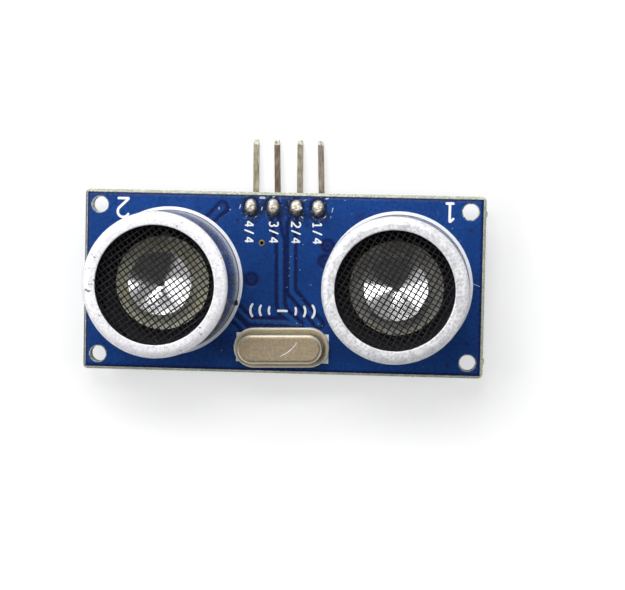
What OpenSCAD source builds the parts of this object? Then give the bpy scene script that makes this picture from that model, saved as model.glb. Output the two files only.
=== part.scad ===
// Two-transducer ultrasonic ranging module, lying on its back with the transducers up.
// Millimetres. The origin is the centre of the mounting hole pattern on the board's back face.
// +X runs towards the transmitter, +Y towards the header and +Z out of the board's front.

/* [Board] */
// Length of the board's masked face
board_l = 45; // [44:0.5:60]
// Width of the board's masked face
board_w = 20; // [19:0.5:30]
// Thickness of the laminate
board_t = 1.6; // [1.2:0.1:2.4]
// How far the broken-off score line stands out past the face
score_w = 0.25; // [0.1:0.05:0.4]
// Depth of the score cut on each side of the board
score_depth = 0.5; // [0.2:0.05:0.55]
// Radius of the board's corners
corner_r = 0.6; // [0.3:0.1:1.5]
// Diameter of the mounting holes
mount_hole_d = 1.8; // [1.2:0.1:2.2]
// Distance of the mounting holes from the edges of the face
mount_inset = 1.5; // [1.3:0.1:3]
// How far the snapped-off tabs stand out of the right edge
tab_proud = 0.15; // [0.05:0.05:0.3]
// Diameter of the two open vias
via_d = 0.4; // [0.3:0.05:0.6]

/* [Transducer can] */
// Outer diameter of each can
can_d = 16; // [14:0.2:20]
// Height of each can above the board
can_h = 12; // [11:0.5:16]
// Wall of the can
can_wall = 0.5; // [0.3:0.05:0.7]
// Free width between the two cans
can_gap = 10; // [9:0.5:14]
// Width of the front ring around the opening
lip_w = 1.5; // [1.2:0.1:2.5]
// Thickness of the front ring
lip_t = 0.6; // [0.4:0.05:1]
// Outer radius of the rounded front edge
lip_r = 0.9; // [0.8:0.05:1.2]
// How far the back edge is crimped inwards over the base
crimp_w = 1.1; // [0.9:0.05:1.4]

/* [Wire screen] */
// Spacing of the wires along the wide side of each opening
mesh_long = 0.61; // [0.5:0.01:1]
// Spacing of the wires along the narrow side of each opening
mesh_short = 0.53; // [0.45:0.01:1]
// Thickness of one wire
mesh_wire = 0.18; // [0.12:0.01:0.25]
// Clearance between the screen's edge and the can's wall
mesh_clearance = 0.1; // [0.05:0.05:0.3]
// Width of the screen's closed rim behind the front ring
mesh_rim = 0.35; // [0.2:0.05:0.6]
// Turn of the receiver's screen
receiver_turn = -53; // [-90:1:90]
// Turn of the transmitter's screen
transmitter_turn = -29; // [-90:1:90]

/* [Vibrator] */
// Diameter of the metal vibrator plate
plate_d = 10.4; // [9.4:0.1:11]
// Thickness of the vibrator plate
plate_t = 0.2; // [0.1:0.05:0.4]
// Height of the vibrator plate's top above the board
plate_h = 5.3; // [4.8:0.1:6.5]
// Diameter of the piezo disc under the plate
piezo_d = 7; // [5:0.1:7]
// Thickness of the piezo disc
piezo_t = 0.35; // [0.2:0.05:0.5]
// Outer diameter of the soft ring that carries the plate
damper_d = 8.8; // [8:0.1:8.8]
// Width of the soft ring
damper_w = 0.8; // [0.5:0.05:0.8]
// Height of the soft ring
damper_h = 0.9; // [0.6:0.05:1.2]

/* [Cone] */
// Diameter of the cone's mouth
cone_mouth_d = 7; // [5:0.1:8]
// Diameter of the flat at the cone's bottom
cone_flat_d = 0.8; // [0.6:0.1:2]
// Depth of the cone from mouth to flat
cone_depth = 1.2; // [0.8:0.1:3]
// Sheet thickness of the cone
cone_t = 0.2; // [0.1:0.05:0.4]
// Bow of the cone's side out of a straight line
cone_bow = 0.05; // [0:0.05:0.5]
// Diameter of the stem between cone and plate
stem_d = 1.4; // [1:0.1:2]
// Height of the stem
stem_h = 0.7; // [0.3:0.1:1.5]

/* [Base and terminals] */
// Thickness of the moulded base
base_t = 3; // [2:0.1:3.4]
// Clearance between the base and the can's wall
base_clearance = 0.1; // [0.05:0.05:0.3]
// Width of the notch that lets each wire through the pedestal
notch_w = 1.2; // [0.8:0.1:2]
// Diameter of each terminal
terminal_d = 0.9; // [0.6:0.05:1.2]
// Distance between the two terminals
terminal_pitch = 10; // [9.8:0.1:11]
// Length of each terminal above the base
terminal_top = 0.4; // [0.2:0.1:0.6]
// Length of each terminal below the board
terminal_tail = 1.3; // [0.8:0.1:2]
// Diameter of the lead wires inside the can
lead_d = 0.2; // [0.1:0.05:0.3]

/* [Crystal] */
// Length over the crystal's flange
xtal_l = 10.8; // [9:0.1:12]
// Width over the crystal's flange
xtal_w = 4.5; // [4:0.1:5.5]
// Height of the crystal above the board
xtal_h = 3.5; // [2.5:0.1:4.5]
// Width of the flange around the cover
xtal_flange = 0.6; // [0.4:0.05:0.7]
// Radius of the cover's top edge
xtal_edge_r = 0.45; // [0.2:0.05:0.8]
// Thickness of the base plate
xtal_plate_t = 0.45; // [0.3:0.05:0.8]
// Thickness of the cover's own flange
xtal_skirt_t = 0.25; // [0.15:0.05:0.4]
// Diameter of the rolled bead along the flange's edge
xtal_bead_d = 0.26; // [0.1:0.02:0.3]
// Spacing of the crystal's leads
xtal_pitch = 4.88; // [3.5:0.01:5.5]
// Diameter of the crystal's leads
xtal_lead_d = 0.43; // [0.3:0.01:0.6]
// Distance of the crystal from the board's lower edge
xtal_inset = 2.75; // [2.6:0.05:5]
// Turn of the crystal on its pads
xtal_turn = 1.5; // [-3:0.5:3]

/* [Header] */
// Number of pins
pin_count = 4; // [2:1:4]
// Spacing of the pins
pin_pitch = 2.54; // [2:0.01:3.2]
// Width of the square pins
pin_w = 0.64; // [0.5:0.01:0.7]
// Height and depth of the plastic housing
housing_w = 2.54; // [2:0.01:3.1]
// Distance of the pin row from the board's upper edge
header_inset = 1.48; // [1.3:0.01:3]
// Radius of the bend along the middle of a pin
bend_r = 0.65; // [0.4:0.05:1]
// How far the header sits to the right in its holes
header_shift = 0.1; // [-0.1:0.05:0.1]
// How far the pins reach past the board's upper edge
pin_reach = 6.28; // [3:0.01:12]
// How far the pins reach through the board's front
pin_tail = 0.8; // [0.4:0.1:2]
// Length of the chisel tip of a pin
tip_l = 0.55; // [0.2:0.05:1]
// Width of the tip's end
tip_w = 0.56; // [0.4:0.02:0.6]
// Thickness of the tip's end
tip_t = 0.22; // [0.1:0.02:0.5]
// Sideways bend of each pin in degrees
pin_lean = [0.6, 1.8, 0.7, 2.2]; // [-3:0.1:3]

/* [Solder and lead holes] */
// Clearance around each lead in its hole, on the radius
lead_clearance = 0.12; // [0.05:0.01:0.3]
// Width of a header joint
joint_w = 1.2; // [0.9:0.05:1.5]
// Length of a header joint
joint_l = 1.7; // [1.2:0.05:2.2]
// Height of a header joint
joint_h = 1.15; // [0.9:0.05:2]
// Diameter of a terminal's solder joint
terminal_joint_d = 2.2; // [1.6:0.1:2.6]
// Height of a terminal's solder joint
terminal_joint_h = 1; // [0.5:0.1:1.2]
// Diameter of a crystal lead's solder joint
xtal_joint_d = 1.4; // [1:0.1:2]
// Height of a crystal lead's solder joint
xtal_joint_h = 0.7; // [0.4:0.1:1]

/* [Integrated circuits] */
// Width of a moulded package without its legs
ic_w = 3.9; // [3:0.1:4.5]
// Height of a package above the board
ic_h = 1.7; // [1.2:0.05:2]
// Gap under a package
ic_standoff = 0.15; // [0.05:0.05:0.3]
// Width over the legs
ic_span = 6; // [5.4:0.1:6.4]
// Spacing of the legs
leg_pitch = 1.27; // [1:0.01:1.3]
// Width of a leg
leg_w = 0.42; // [0.3:0.02:0.5]
// Sheet thickness of a leg
leg_t = 0.2; // [0.12:0.02:0.25]
// Length of a leg's foot
foot_l = 0.7; // [0.4:0.05:0.9]
// Body length past the outermost legs
ic_end = 0.51; // [0.4:0.01:0.8]
// Gap between the legs of neighbouring packages
ic_gap = 0.6; // [0.4:0.1:2]
// Distance of the packages' middle below the board's middle
ic_drop = 0.6; // [0:0.1:1]

/* [Chip parts] */
// Length of a chip resistor or capacitor
chip_l = 1.6; // [1:0.1:1.6]
// Width of a chip
chip_w = 0.8; // [0.5:0.05:0.9]
// Height of a resistor
resistor_h = 0.45; // [0.3:0.05:0.6]
// Height of a capacitor
capacitor_h = 0.8; // [0.5:0.05:0.9]
// Length of a chip's metal end
chip_end = 0.3; // [0.2:0.05:0.4]
// Spacing of the chips in a row
chip_step = 1.5; // [1.2:0.1:2]

/* [Hidden] */
$fn = 64;

// A hair's breadth that keeps cutting tools clear of the faces they cut
nib = 0.05;

// Places
can_x = (can_d + can_gap) / 2;
mount_x = board_l / 2 - mount_inset;
mount_y = board_w / 2 - mount_inset;
header_y = board_w / 2 - header_inset;
xtal_y = -board_w / 2 + xtal_inset;
tab_r = 0.6;
tab_y = mount_y - 0.2;
via_places = [[-2.5, 4.5], [-5.3, -2.35]];

// Transducer, as heights above the board's front
can_r = can_d / 2;
bore_r = can_r - can_wall;
aperture_r = can_r - lip_w;
lip_inner_r = lip_r - can_wall;
curl_r = lip_t / 4;
screen_t = 2 * mesh_wire;
screen_top = can_h - lip_t;
screen_r = bore_r - lip_inner_r - mesh_clearance;
plate_bottom = plate_h - plate_t;
pedestal_top = plate_bottom - damper_h;
damper_inner_r = damper_d / 2 - damper_w;
wire_start = base_t + terminal_top;
wire_bend_r = 1.5 * lead_d;
dot_r = 2 * lead_d;
dot_h = lead_d;

// Cone side: its run, its length, and how deep the sheet is sunk into the stem
cone_run = (cone_mouth_d - cone_flat_d) / 2;
cone_side_l = norm([cone_run, cone_depth]);
cone_sink = cone_t / 3;
cone_steps = 12;

// Leads and their holes
terminal_hole_r = terminal_d / 2 + lead_clearance;
xtal_hole_r = xtal_lead_d / 2 + lead_clearance;
seal_r = 1.5 * xtal_lead_d;
header_hole_r = pin_w / sqrt(2) + lead_clearance;

// Header
bend_start_z = -housing_w - pin_w / 4;
pin_leg_l = pin_reach + header_inset - bend_r;
housing_notch = 0.35;

// Integrated circuits
ic_step = ic_span + ic_gap;
leg_mid_h = (ic_h + ic_standoff) / 2;
draft = 0.12;
dimple_r = 0.4;
dimple_d = 0.15;

// Small transistor
sot_l = 2.9;
sot_w = 1.3;
sot_h = 1.1;
sot_span = 2.4;
sot_pitch = 0.95;
sot_place = [can_x + 5.2, -2.2];

// Chips stand in rows on the back, each row a start, a direction and a count
resistor_rows = [
    [[-can_x - 4.6, -3, 0], [0, chip_step], 5],
    [[can_x + 4.9, 1.2, 0], [0, chip_step], 3],
    [[-9.2, header_y - 2.9, 90], [chip_step, 0], 6]
];
capacitor_rows = [
    [[-can_x - 1.2, -1.5, 0], [0, chip_step], 3],
    [[can_x + 1.2, -1.5, 0], [0, chip_step], 3],
    [[3.2, header_y - 2.9, 90], [chip_step, 0], 4]
];

// Colours as the photograph shows them
mask_blue = [0.09, 0.22, 0.5];
aluminium_grey = [0.8, 0.8, 0.83];
screen_grey = [0.3, 0.3, 0.31];
brass_yellow = [0.66, 0.62, 0.45];
ceramic_cream = [0.72, 0.68, 0.58];
moulding_black = [0.08, 0.08, 0.09];
silicone_white = [0.85, 0.85, 0.82];
nickel_warm = [0.6, 0.55, 0.48];
pin_olive = [0.58, 0.55, 0.48];
solder_silver = [0.75, 0.74, 0.7];
glass_green = [0.25, 0.4, 0.35];
copper_red = [0.75, 0.45, 0.3];

// A solid of revolution standing on z = 0, drawn in the half plane x > 0
module spin() {
    rotate_extrude() children();
}

module disc(r, h) {
    cylinder(r = r, h = h);
}

// Stadium outline with round ends, the shape of the crystal's parts
module stadium(l, w) {
    square([l - w, w], center = true);
    for (side = [-1, 1]) translate([side * (l - w) / 2, 0]) circle(d = w);
}

module at_cans() {
    for (side = [-1, 1]) translate([side * can_x, 0, board_t]) children();
}

module at_receiver() {
    translate([-can_x, 0, board_t]) children();
}

module at_transmitter() {
    translate([can_x, 0, board_t]) children();
}

module at_crystal() {
    translate([0, xtal_y, board_t]) rotate([0, 0, xtal_turn]) children();
}

module at_xtal_leads() {
    at_crystal() for (side = [-1, 1]) translate([side * xtal_pitch / 2, 0, 0]) children();
}

module at_terminals() {
    for (side = [-1, 1]) translate([0, side * terminal_pitch / 2, 0]) children();
}

function hole_x(i) = (i - (pin_count - 1) / 2) * pin_pitch;

module at_pin_holes() {
    for (i = [0 : pin_count - 1]) translate([hole_x(i), header_y, 0]) children();
}

module at_pins() {
    translate([header_shift, 0, 0]) at_pin_holes() children();
}

// Cross-section of the board: scored from both sides, so a thin web stands out in the middle
module scored_section(l) {
    half = l / 2;
    polygon([
        [-half, 0], [-half - score_w, score_depth], [-half - score_w, board_t - score_depth], [-half, board_t],
        [half, board_t], [half + score_w, board_t - score_depth], [half + score_w, score_depth], [half, 0]
    ]);
}

module board_outline() {
    full_l = board_l + 2 * score_w;
    full_w = board_w + 2 * score_w;
    square([full_l - 2 * corner_r, full_w], center = true);
    square([full_l, full_w - 2 * corner_r], center = true);
    for (sx = [-1, 1], sy = [-1, 1])
        translate([sx * (full_l / 2 - corner_r), sy * (full_w / 2 - corner_r)]) circle(corner_r);
}

// Stubs of laminate left on the right edge where the board was snapped out of its panel
module break_tabs() {
    for (side = [-1, 1]) translate([board_l / 2 + score_w + tab_proud - tab_r, side * tab_y, score_depth])
        disc(tab_r, board_t - 2 * score_depth);
}

module board_blank() {
    break_tabs();
    intersection() {
        rotate([90, 0, 0]) linear_extrude(board_w + 2, center = true) scored_section(board_l);
        rotate([90, 0, 90]) linear_extrude(board_l + 2, center = true) scored_section(board_w);
        linear_extrude(board_t) board_outline();
    }
}

module drill(r) {
    translate([0, 0, -nib]) disc(r, board_t + 2 * nib);
}

module circuit_board() {
    color(mask_blue) difference() {
        board_blank();
        for (sx = [-1, 1], sy = [-1, 1]) translate([sx * mount_x, sy * mount_y, 0]) drill(mount_hole_d / 2);
        at_pin_holes() drill(header_hole_r);
        translate([0, 0, -board_t]) at_cans() at_terminals() drill(terminal_hole_r);
        translate([0, 0, -board_t]) at_xtal_leads() drill(xtal_hole_r);
        for (p = via_places) translate(p) drill(via_d / 2);
    }
}

// Half section of a drawn cup's outside: a straight wall up to a rounded top edge
module cup_section(r, h, edge) {
    square([r - edge, h]);
    square([r, h - edge]);
    translate([r - edge, h - edge]) circle(edge);
}

// The can's outside, whose back edge is rounded too where the wall is crimped inwards
module can_outside() {
    translate([0, can_wall]) cup_section(can_r, can_h - can_wall, lip_r);
    square([can_r - can_wall, can_wall + nib]);
    translate([can_r - can_wall, can_wall]) circle(can_wall);
}

module can_section() {
    difference() {
        can_outside();
        translate([0, can_wall]) cup_section(bore_r, can_h - lip_t - can_wall, lip_inner_r);
        translate([0, -nib]) square([can_r - crimp_w, can_h / 2]);
        translate([0, can_h - lip_t - nib]) square([aperture_r, lip_t + 2 * nib]);
        translate([0, can_h - curl_r]) square([aperture_r + curl_r, curl_r + nib]);
    }
    translate([aperture_r + curl_r, can_h - curl_r]) circle(curl_r);
}

module can() {
    color(aluminium_grey) spin() can_section();
}

// Openings whose every corner lies inside the open part of the screen
function screen_cells(open_r) =
    let (nx = ceil(open_r / mesh_long), ny = ceil(open_r / mesh_short))
    [for (i = [-nx : nx], j = [-ny : ny])
        let (x = i * mesh_long, y = j * mesh_short)
        if (norm([abs(x) + mesh_long / 2, abs(y) + mesh_short / 2]) < open_r) [x, y]];

module screen(turn) {
    color(screen_grey) translate([0, 0, screen_top - screen_t]) rotate([0, 0, turn])
        linear_extrude(screen_t) difference() {
            circle(screen_r);
            for (c = screen_cells(screen_r - mesh_rim)) translate(c)
                square([mesh_long - mesh_wire, mesh_short - mesh_wire], center = true);
        }
}

// One face of the cone's sheet: from the flat to the mouth, bowed square to the straight line between them
function cone_side(lift) = [for (k = [0 : cone_steps])
    let (s = k / cone_steps, bow = cone_bow * 4 * s * (1 - s) / cone_side_l)
    [cone_flat_d / 2 + cone_run * s + cone_depth * bow, lift + cone_depth * s - cone_run * bow]];

module cone_section() {
    inner = cone_side(cone_t);
    outer = cone_side(-cone_sink);
    polygon(concat([[0, cone_t]], inner, [for (k = [cone_steps : -1 : 0]) outer[k]], [[0, -cone_sink]]));
}

module cone() {
    color(aluminium_grey) translate([0, 0, plate_h]) {
        disc(stem_d / 2, stem_h);
        translate([0, 0, stem_h]) spin() cone_section();
    }
}

module vibrator_plate() {
    color(brass_yellow) translate([0, 0, plate_bottom]) disc(plate_d / 2, plate_t);
}

module piezo_disc() {
    color(ceramic_cream) translate([0, 0, plate_bottom - piezo_t]) disc(piezo_d / 2, piezo_t);
}

module damper_ring() {
    color(silicone_white) translate([0, 0, pedestal_top]) difference() {
        disc(damper_d / 2, damper_h);
        translate([0, 0, -nib]) disc(damper_inner_r, damper_h + 2 * nib);
    }
}

module base() {
    seat_r = can_r - crimp_w - base_clearance;
    body_r = bore_r - base_clearance;
    color(moulding_black) difference() {
        union() {
            disc(seat_r, base_t);
            translate([0, 0, can_wall]) disc(body_r, base_t - can_wall);
            disc(damper_d / 2, pedestal_top);
        }
        translate([0, 0, base_t]) disc(damper_inner_r, pedestal_top);
        translate([-notch_w / 2, -body_r, base_t]) cube([notch_w, 2 * body_r, pedestal_top]);
        at_terminals() translate([0, 0, -nib]) disc(terminal_d / 2, base_t + 2 * nib);
    }
}

module terminals() {
    tail = board_t + terminal_tail;
    color(solder_silver) at_terminals() translate([0, 0, -tail])
        disc(terminal_d / 2, tail + base_t + terminal_top);
}

// Quarter bend of round wire in the YZ plane, from straight up at the origin towards -y
module wire_bend(r, d) {
    translate([0, -r, 0]) rotate([90, 0, 90]) rotate_extrude(angle = 90) translate([r, 0]) circle(d = d);
}

// From one terminal up, through the notch and up again to the middle of the piezo disc
module piezo_wire() {
    bend = wire_bend_r;
    run = terminal_pitch / 2 - 2 * bend - dot_r;
    riser_h = plate_bottom - piezo_t - dot_h - wire_start - 2 * bend;
    translate([0, terminal_pitch / 2, wire_start]) {
        wire_bend(bend, lead_d);
        translate([0, -bend, bend]) rotate([90, 0, 0]) disc(lead_d / 2, run);
        translate([0, -2 * bend - run, 2 * bend]) rotate([180, 0, 0]) wire_bend(bend, lead_d);
        translate([0, -2 * bend - run, 2 * bend]) disc(lead_d / 2, riser_h);
        translate([0, -2 * bend - run, 2 * bend + riser_h]) disc(dot_r, dot_h);
    }
}

// From the other terminal straight up to the rim of the vibrator plate
module plate_wire() {
    wire_y = -(plate_d / 2 - 1.5 * lead_d);
    translate([0, wire_y, wire_start]) disc(lead_d / 2, plate_bottom - dot_h - wire_start);
    translate([0, wire_y, plate_bottom - dot_h]) disc(lead_d, dot_h);
}

module lead_wires() {
    color(copper_red) {
        piezo_wire();
        plate_wire();
    }
}

module receiver_can() { at_receiver() can(); }
module receiver_screen() { at_receiver() screen(receiver_turn); }
module receiver_cone() { at_receiver() cone(); }
module receiver_vibrator_plate() { at_receiver() vibrator_plate(); }
module receiver_piezo_disc() { at_receiver() piezo_disc(); }
module receiver_damper_ring() { at_receiver() damper_ring(); }
module receiver_base() { at_receiver() base(); }
module receiver_terminals() { at_receiver() terminals(); }
module receiver_lead_wires() { at_receiver() lead_wires(); }

module transmitter_can() { at_transmitter() can(); }
module transmitter_screen() { at_transmitter() screen(transmitter_turn); }
module transmitter_cone() { at_transmitter() cone(); }
module transmitter_vibrator_plate() { at_transmitter() vibrator_plate(); }
module transmitter_piezo_disc() { at_transmitter() piezo_disc(); }
module transmitter_damper_ring() { at_transmitter() damper_ring(); }
module transmitter_base() { at_transmitter() base(); }
module transmitter_terminals() { at_transmitter() terminals(); }
module transmitter_lead_wires() { at_transmitter() lead_wires(); }

// Rounded bead that runs along the flange's edge: a bar on each long side and half a ring at each end
module flange_bead(straight_l) {
    bead_r = xtal_bead_d / 2;
    seat_r = xtal_w / 2 - 1.25 * bead_r;
    for (side = [-1, 1]) {
        translate([-straight_l / 2, side * seat_r, 0]) rotate([0, 90, 0]) disc(bead_r, straight_l);
        rotate([0, 0, 90 + 90 * side]) translate([-straight_l / 2, 0, 0]) rotate([0, 0, 90])
            rotate_extrude(angle = 180) translate([seat_r, 0]) circle(bead_r);
    }
}

// Cover of the crystal: a skirt with its bead, and a drawn body whose top edge is rounded all the way round
module crystal_cover() {
    cover_l = xtal_l - 2 * xtal_flange;
    cover_w = xtal_w - 2 * xtal_flange;
    top = xtal_h - xtal_plate_t;
    end_x = (cover_l - cover_w) / 2;
    half_w = cover_w / 2;
    color(nickel_warm) at_crystal() translate([0, 0, xtal_plate_t]) {
        linear_extrude(xtal_skirt_t) stadium(xtal_l, xtal_w);
        translate([0, 0, xtal_skirt_t]) flange_bead(xtal_l - xtal_w);
        intersection() {
            rotate([90, 0, 90]) linear_extrude(2 * end_x, center = true) union() {
                cup_section(half_w, top, xtal_edge_r);
                mirror([1, 0]) cup_section(half_w, top, xtal_edge_r);
            }
            translate([-end_x, -half_w, 0]) cube([2 * end_x, cover_w, top]);
        }
        for (side = [-1, 1]) translate([side * end_x, 0, 0]) spin() cup_section(half_w, top, xtal_edge_r);
    }
}

module crystal_base_plate() {
    color(nickel_warm) at_crystal() linear_extrude(xtal_plate_t) difference() {
        stadium(xtal_l, xtal_w);
        for (side = [-1, 1]) translate([side * xtal_pitch / 2, 0]) circle(seal_r);
    }
}

module crystal_glass_seals() {
    color(glass_green) at_xtal_leads() difference() {
        disc(seal_r, xtal_plate_t);
        translate([0, 0, -nib]) disc(xtal_lead_d / 2, xtal_plate_t + 2 * nib);
    }
}

module crystal_leads() {
    tail = board_t + xtal_joint_h + 0.3;
    color(solder_silver) at_xtal_leads() translate([0, 0, -tail]) disc(xtal_lead_d / 2, tail + xtal_plate_t);
}

// Housing: one bevelled block for each pin, broken off a longer strip
module housing_block() {
    half_p = pin_pitch / 2;
    half_w = housing_w / 2;
    n = housing_notch;
    polygon([
        [-half_p, -half_w + n], [-half_p + n, -half_w], [half_p - n, -half_w], [half_p, -half_w + n],
        [half_p, half_w - n], [half_p - n, half_w], [-half_p + n, half_w], [-half_p, half_w - n]
    ]);
}

module header_housing() {
    color(moulding_black) difference() {
        at_pins() translate([0, 0, -housing_w]) linear_extrude(housing_w) housing_block();
        at_pins() translate([-pin_w / 2, -pin_w / 2, -housing_w - nib]) cube([pin_w, pin_w, housing_w + 2 * nib]);
    }
}

// View of a bar along +x whose end is bevelled from both sides to the width end_w
module bevelled_bar(l, end_w) {
    polygon([
        [0, -pin_w / 2], [l - tip_l, -pin_w / 2], [l, -end_w / 2],
        [l, end_w / 2], [l - tip_l, pin_w / 2], [0, pin_w / 2]
    ]);
}

// Straight leg of a pin along +y, cut to a chisel that is wide sideways and thin upwards
module pin_leg(l) {
    rotate([0, 0, 90]) intersection() {
        linear_extrude(pin_w, center = true) bevelled_bar(l, tip_w);
        rotate([90, 0, 0]) linear_extrude(pin_w, center = true) bevelled_bar(l, tip_t);
    }
}

module header_pin(i) {
    if (i < pin_count) color(pin_olive) translate([header_shift + hole_x(i), header_y, 0]) {
        translate([-pin_w / 2, -pin_w / 2, bend_start_z])
            cube([pin_w, pin_w, board_t + pin_tail - bend_start_z]);
        translate([0, 0, bend_start_z]) rotate([0, 0, pin_lean[i]]) {
            translate([-pin_w / 2, -pin_w / 2, 0]) cube([pin_w, pin_w, nib]);
            translate([0, bend_r, 0]) rotate([90, 180, 90]) rotate_extrude(angle = 90)
                translate([bend_r, 0]) square(pin_w, center = true);
            translate([0, bend_r, -bend_r]) pin_leg(pin_leg_l);
        }
    }
}

module header_pin_1() { header_pin(0); }
module header_pin_2() { header_pin(1); }
module header_pin_3() { header_pin(2); }
module header_pin_4() { header_pin(3); }

// Half section of a solder fillet: a concave flank from the pad up to a rounded crown
module fillet_section(foot_r, crown_r, h) {
    flank = foot_r - crown_r;
    difference() {
        square([foot_r, h]);
        translate([foot_r, flank + nib]) circle(flank);
        translate([crown_r, flank + nib]) square([foot_r, h]);
    }
}

module solder_dome(w, l, h) {
    crown = 0.75 * w / 2;
    stretch = (l - w) / 2;
    for (side = [-1, 1]) translate([0, side * stretch, 0]) spin() fillet_section(w / 2, crown, h);
    rotate([90, 0, 0]) linear_extrude(2 * stretch, center = true) union() {
        fillet_section(w / 2, crown, h);
        mirror([1, 0]) fillet_section(w / 2, crown, h);
    }
}

module header_solder() {
    color(solder_silver) at_pins() translate([0, 0, board_t]) difference() {
        solder_dome(joint_w, joint_l, joint_h);
        translate([-pin_w / 2, -pin_w / 2, -nib]) cube([pin_w, pin_w, pin_tail + nib]);
    }
}

// Fillet on the back of the board around a round lead
module back_fillet(d, lead_r, h) {
    rotate([180, 0, 0]) spin() difference() {
        fillet_section(d / 2, lead_r + 0.12, h);
        translate([0, -nib]) square([lead_r, h + 2 * nib]);
    }
}

module terminal_solder() {
    color(solder_silver) translate([0, 0, -board_t]) at_cans() at_terminals()
        back_fillet(terminal_joint_d, terminal_d / 2, terminal_joint_h);
}

module crystal_solder() {
    color(solder_silver) translate([0, 0, -board_t]) at_xtal_leads()
        back_fillet(xtal_joint_d, xtal_lead_d / 2, xtal_joint_h);
}

// What follows hangs under the board, drawn upright and turned over
module on_back(x, y) {
    translate([x, y, 0]) rotate([0, 180, 0]) children();
}

// Section of a moulded package: both sides taper away from the parting line at mid height
module package_section(l, h, standoff) {
    half = l / 2;
    mid = (h + standoff) / 2;
    polygon([
        [-half + draft, standoff], [half - draft, standoff], [half, mid],
        [half - draft, h], [-half + draft, h], [-half, mid]
    ]);
}

module package(w, l, h, standoff) {
    intersection() {
        rotate([90, 0, 0]) linear_extrude(l, center = true) package_section(w, h, standoff);
        rotate([90, 0, 90]) linear_extrude(w, center = true) package_section(l, h, standoff);
    }
}

function ic_length(legs) = (legs / 2 - 1) * leg_pitch + leg_w + 2 * ic_end;

module ic_package(legs) {
    l = ic_length(legs);
    color(moulding_black) difference() {
        package(ic_w, l, ic_h, ic_standoff);
        translate([-ic_w / 2 + 3 * dimple_r, l / 2 - 2.5 * dimple_r, ic_h - dimple_d])
            disc(dimple_r, dimple_d + nib);
    }
}

// Gull wing leg in side view, from the package's side down to its foot
module leg_section(inner, outer, mid, foot) {
    knee = outer - foot;
    polygon([
        [inner, mid - leg_t / 2], [knee - leg_t, mid - leg_t / 2], [knee - leg_t / 2, 0], [outer, 0],
        [outer, leg_t], [knee + leg_t / 2, leg_t], [knee, mid + leg_t / 2], [inner, mid + leg_t / 2]
    ]);
}

module leg(inner, outer, mid, foot, w) {
    rotate([90, 0, 0]) linear_extrude(w, center = true) leg_section(inner, outer, mid, foot);
}

module ic_legs(legs) {
    per_side = legs / 2;
    color(solder_silver) for (turn = [0, 180], k = [0 : per_side - 1])
        rotate([0, 0, turn]) translate([0, (k - (per_side - 1) / 2) * leg_pitch, 0])
            leg(ic_w / 2, ic_span / 2, leg_mid_h, foot_l, leg_w);
}

module controller_package() { on_back(-ic_step, -ic_drop) ic_package(14); }
module controller_legs() { on_back(-ic_step, -ic_drop) ic_legs(14); }
module amplifier_package() { on_back(0, -ic_drop) ic_package(14); }
module amplifier_legs() { on_back(0, -ic_drop) ic_legs(14); }
module driver_package() { on_back(ic_step, -ic_drop) ic_package(16); }
module driver_legs() { on_back(ic_step, -ic_drop) ic_legs(16); }

module transistor_package() {
    color(moulding_black) on_back(sot_place[0], sot_place[1]) package(sot_w, sot_l, sot_h, 0.05);
}

module transistor_legs() {
    mid = (sot_h + 0.05) / 2;
    foot = 0.35;
    color(solder_silver) on_back(sot_place[0], sot_place[1]) {
        for (side = [-1, 1]) translate([0, side * sot_pitch, 0]) leg(sot_w / 2, sot_span / 2, mid, foot, leg_w);
        rotate([0, 0, 180]) leg(sot_w / 2, sot_span / 2, mid, foot, leg_w);
    }
}

module at_rows(rows) {
    for (row = rows, k = [0 : row[2] - 1])
        on_back(row[0][0] + k * row[1][0], row[0][1] + k * row[1][1]) rotate([0, 0, row[0][2]]) children();
}

module chip_body(h) {
    core = chip_l - 2 * chip_end;
    translate([-core / 2, -chip_w / 2, 0]) cube([core, chip_w, h]);
}

module chip_ends(h) {
    for (side = [-1, 1]) translate([side * (chip_l - chip_end) / 2, 0, h / 2])
        cube([chip_end, chip_w, h], center = true);
}

module resistor_bodies() { color(moulding_black) at_rows(resistor_rows) chip_body(resistor_h); }
module resistor_ends() { color(solder_silver) at_rows(resistor_rows) chip_ends(resistor_h); }
module capacitor_bodies() { color(ceramic_cream) at_rows(capacitor_rows) chip_body(capacitor_h); }
module capacitor_ends() { color(solder_silver) at_rows(capacitor_rows) chip_ends(capacitor_h); }

circuit_board();
receiver_can();
receiver_screen();
receiver_cone();
receiver_vibrator_plate();
receiver_piezo_disc();
receiver_damper_ring();
receiver_base();
receiver_terminals();
receiver_lead_wires();
transmitter_can();
transmitter_screen();
transmitter_cone();
transmitter_vibrator_plate();
transmitter_piezo_disc();
transmitter_damper_ring();
transmitter_base();
transmitter_terminals();
transmitter_lead_wires();
crystal_cover();
crystal_base_plate();
crystal_leads();
crystal_glass_seals();
header_housing();
header_pin_1();
header_pin_2();
header_pin_3();
header_pin_4();
header_solder();
terminal_solder();
crystal_solder();
controller_package();
controller_legs();
amplifier_package();
amplifier_legs();
driver_package();
driver_legs();
transistor_package();
transistor_legs();
resistor_bodies();
resistor_ends();
capacitor_bodies();
capacitor_ends();
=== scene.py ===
# %% [markdown]
# # A two-transducer ultrasonic module
# The real object is one small blue circuit board with two 16 mm ultrasonic cans, a quartz crystal and a four-pin
# header. The CAD frame already holds every solid in its place. This lesson dresses that frame: it adds the thin
# things that CAD leaves out, such as solder mask over copper tracks, printed ink, woven wire and solder, and gives
# every surface the finish that its real material and process leave behind.

# %% Load the CAD frame
import bpy
import numpy as np
from mathutils import Euler, Matrix, Vector


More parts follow.
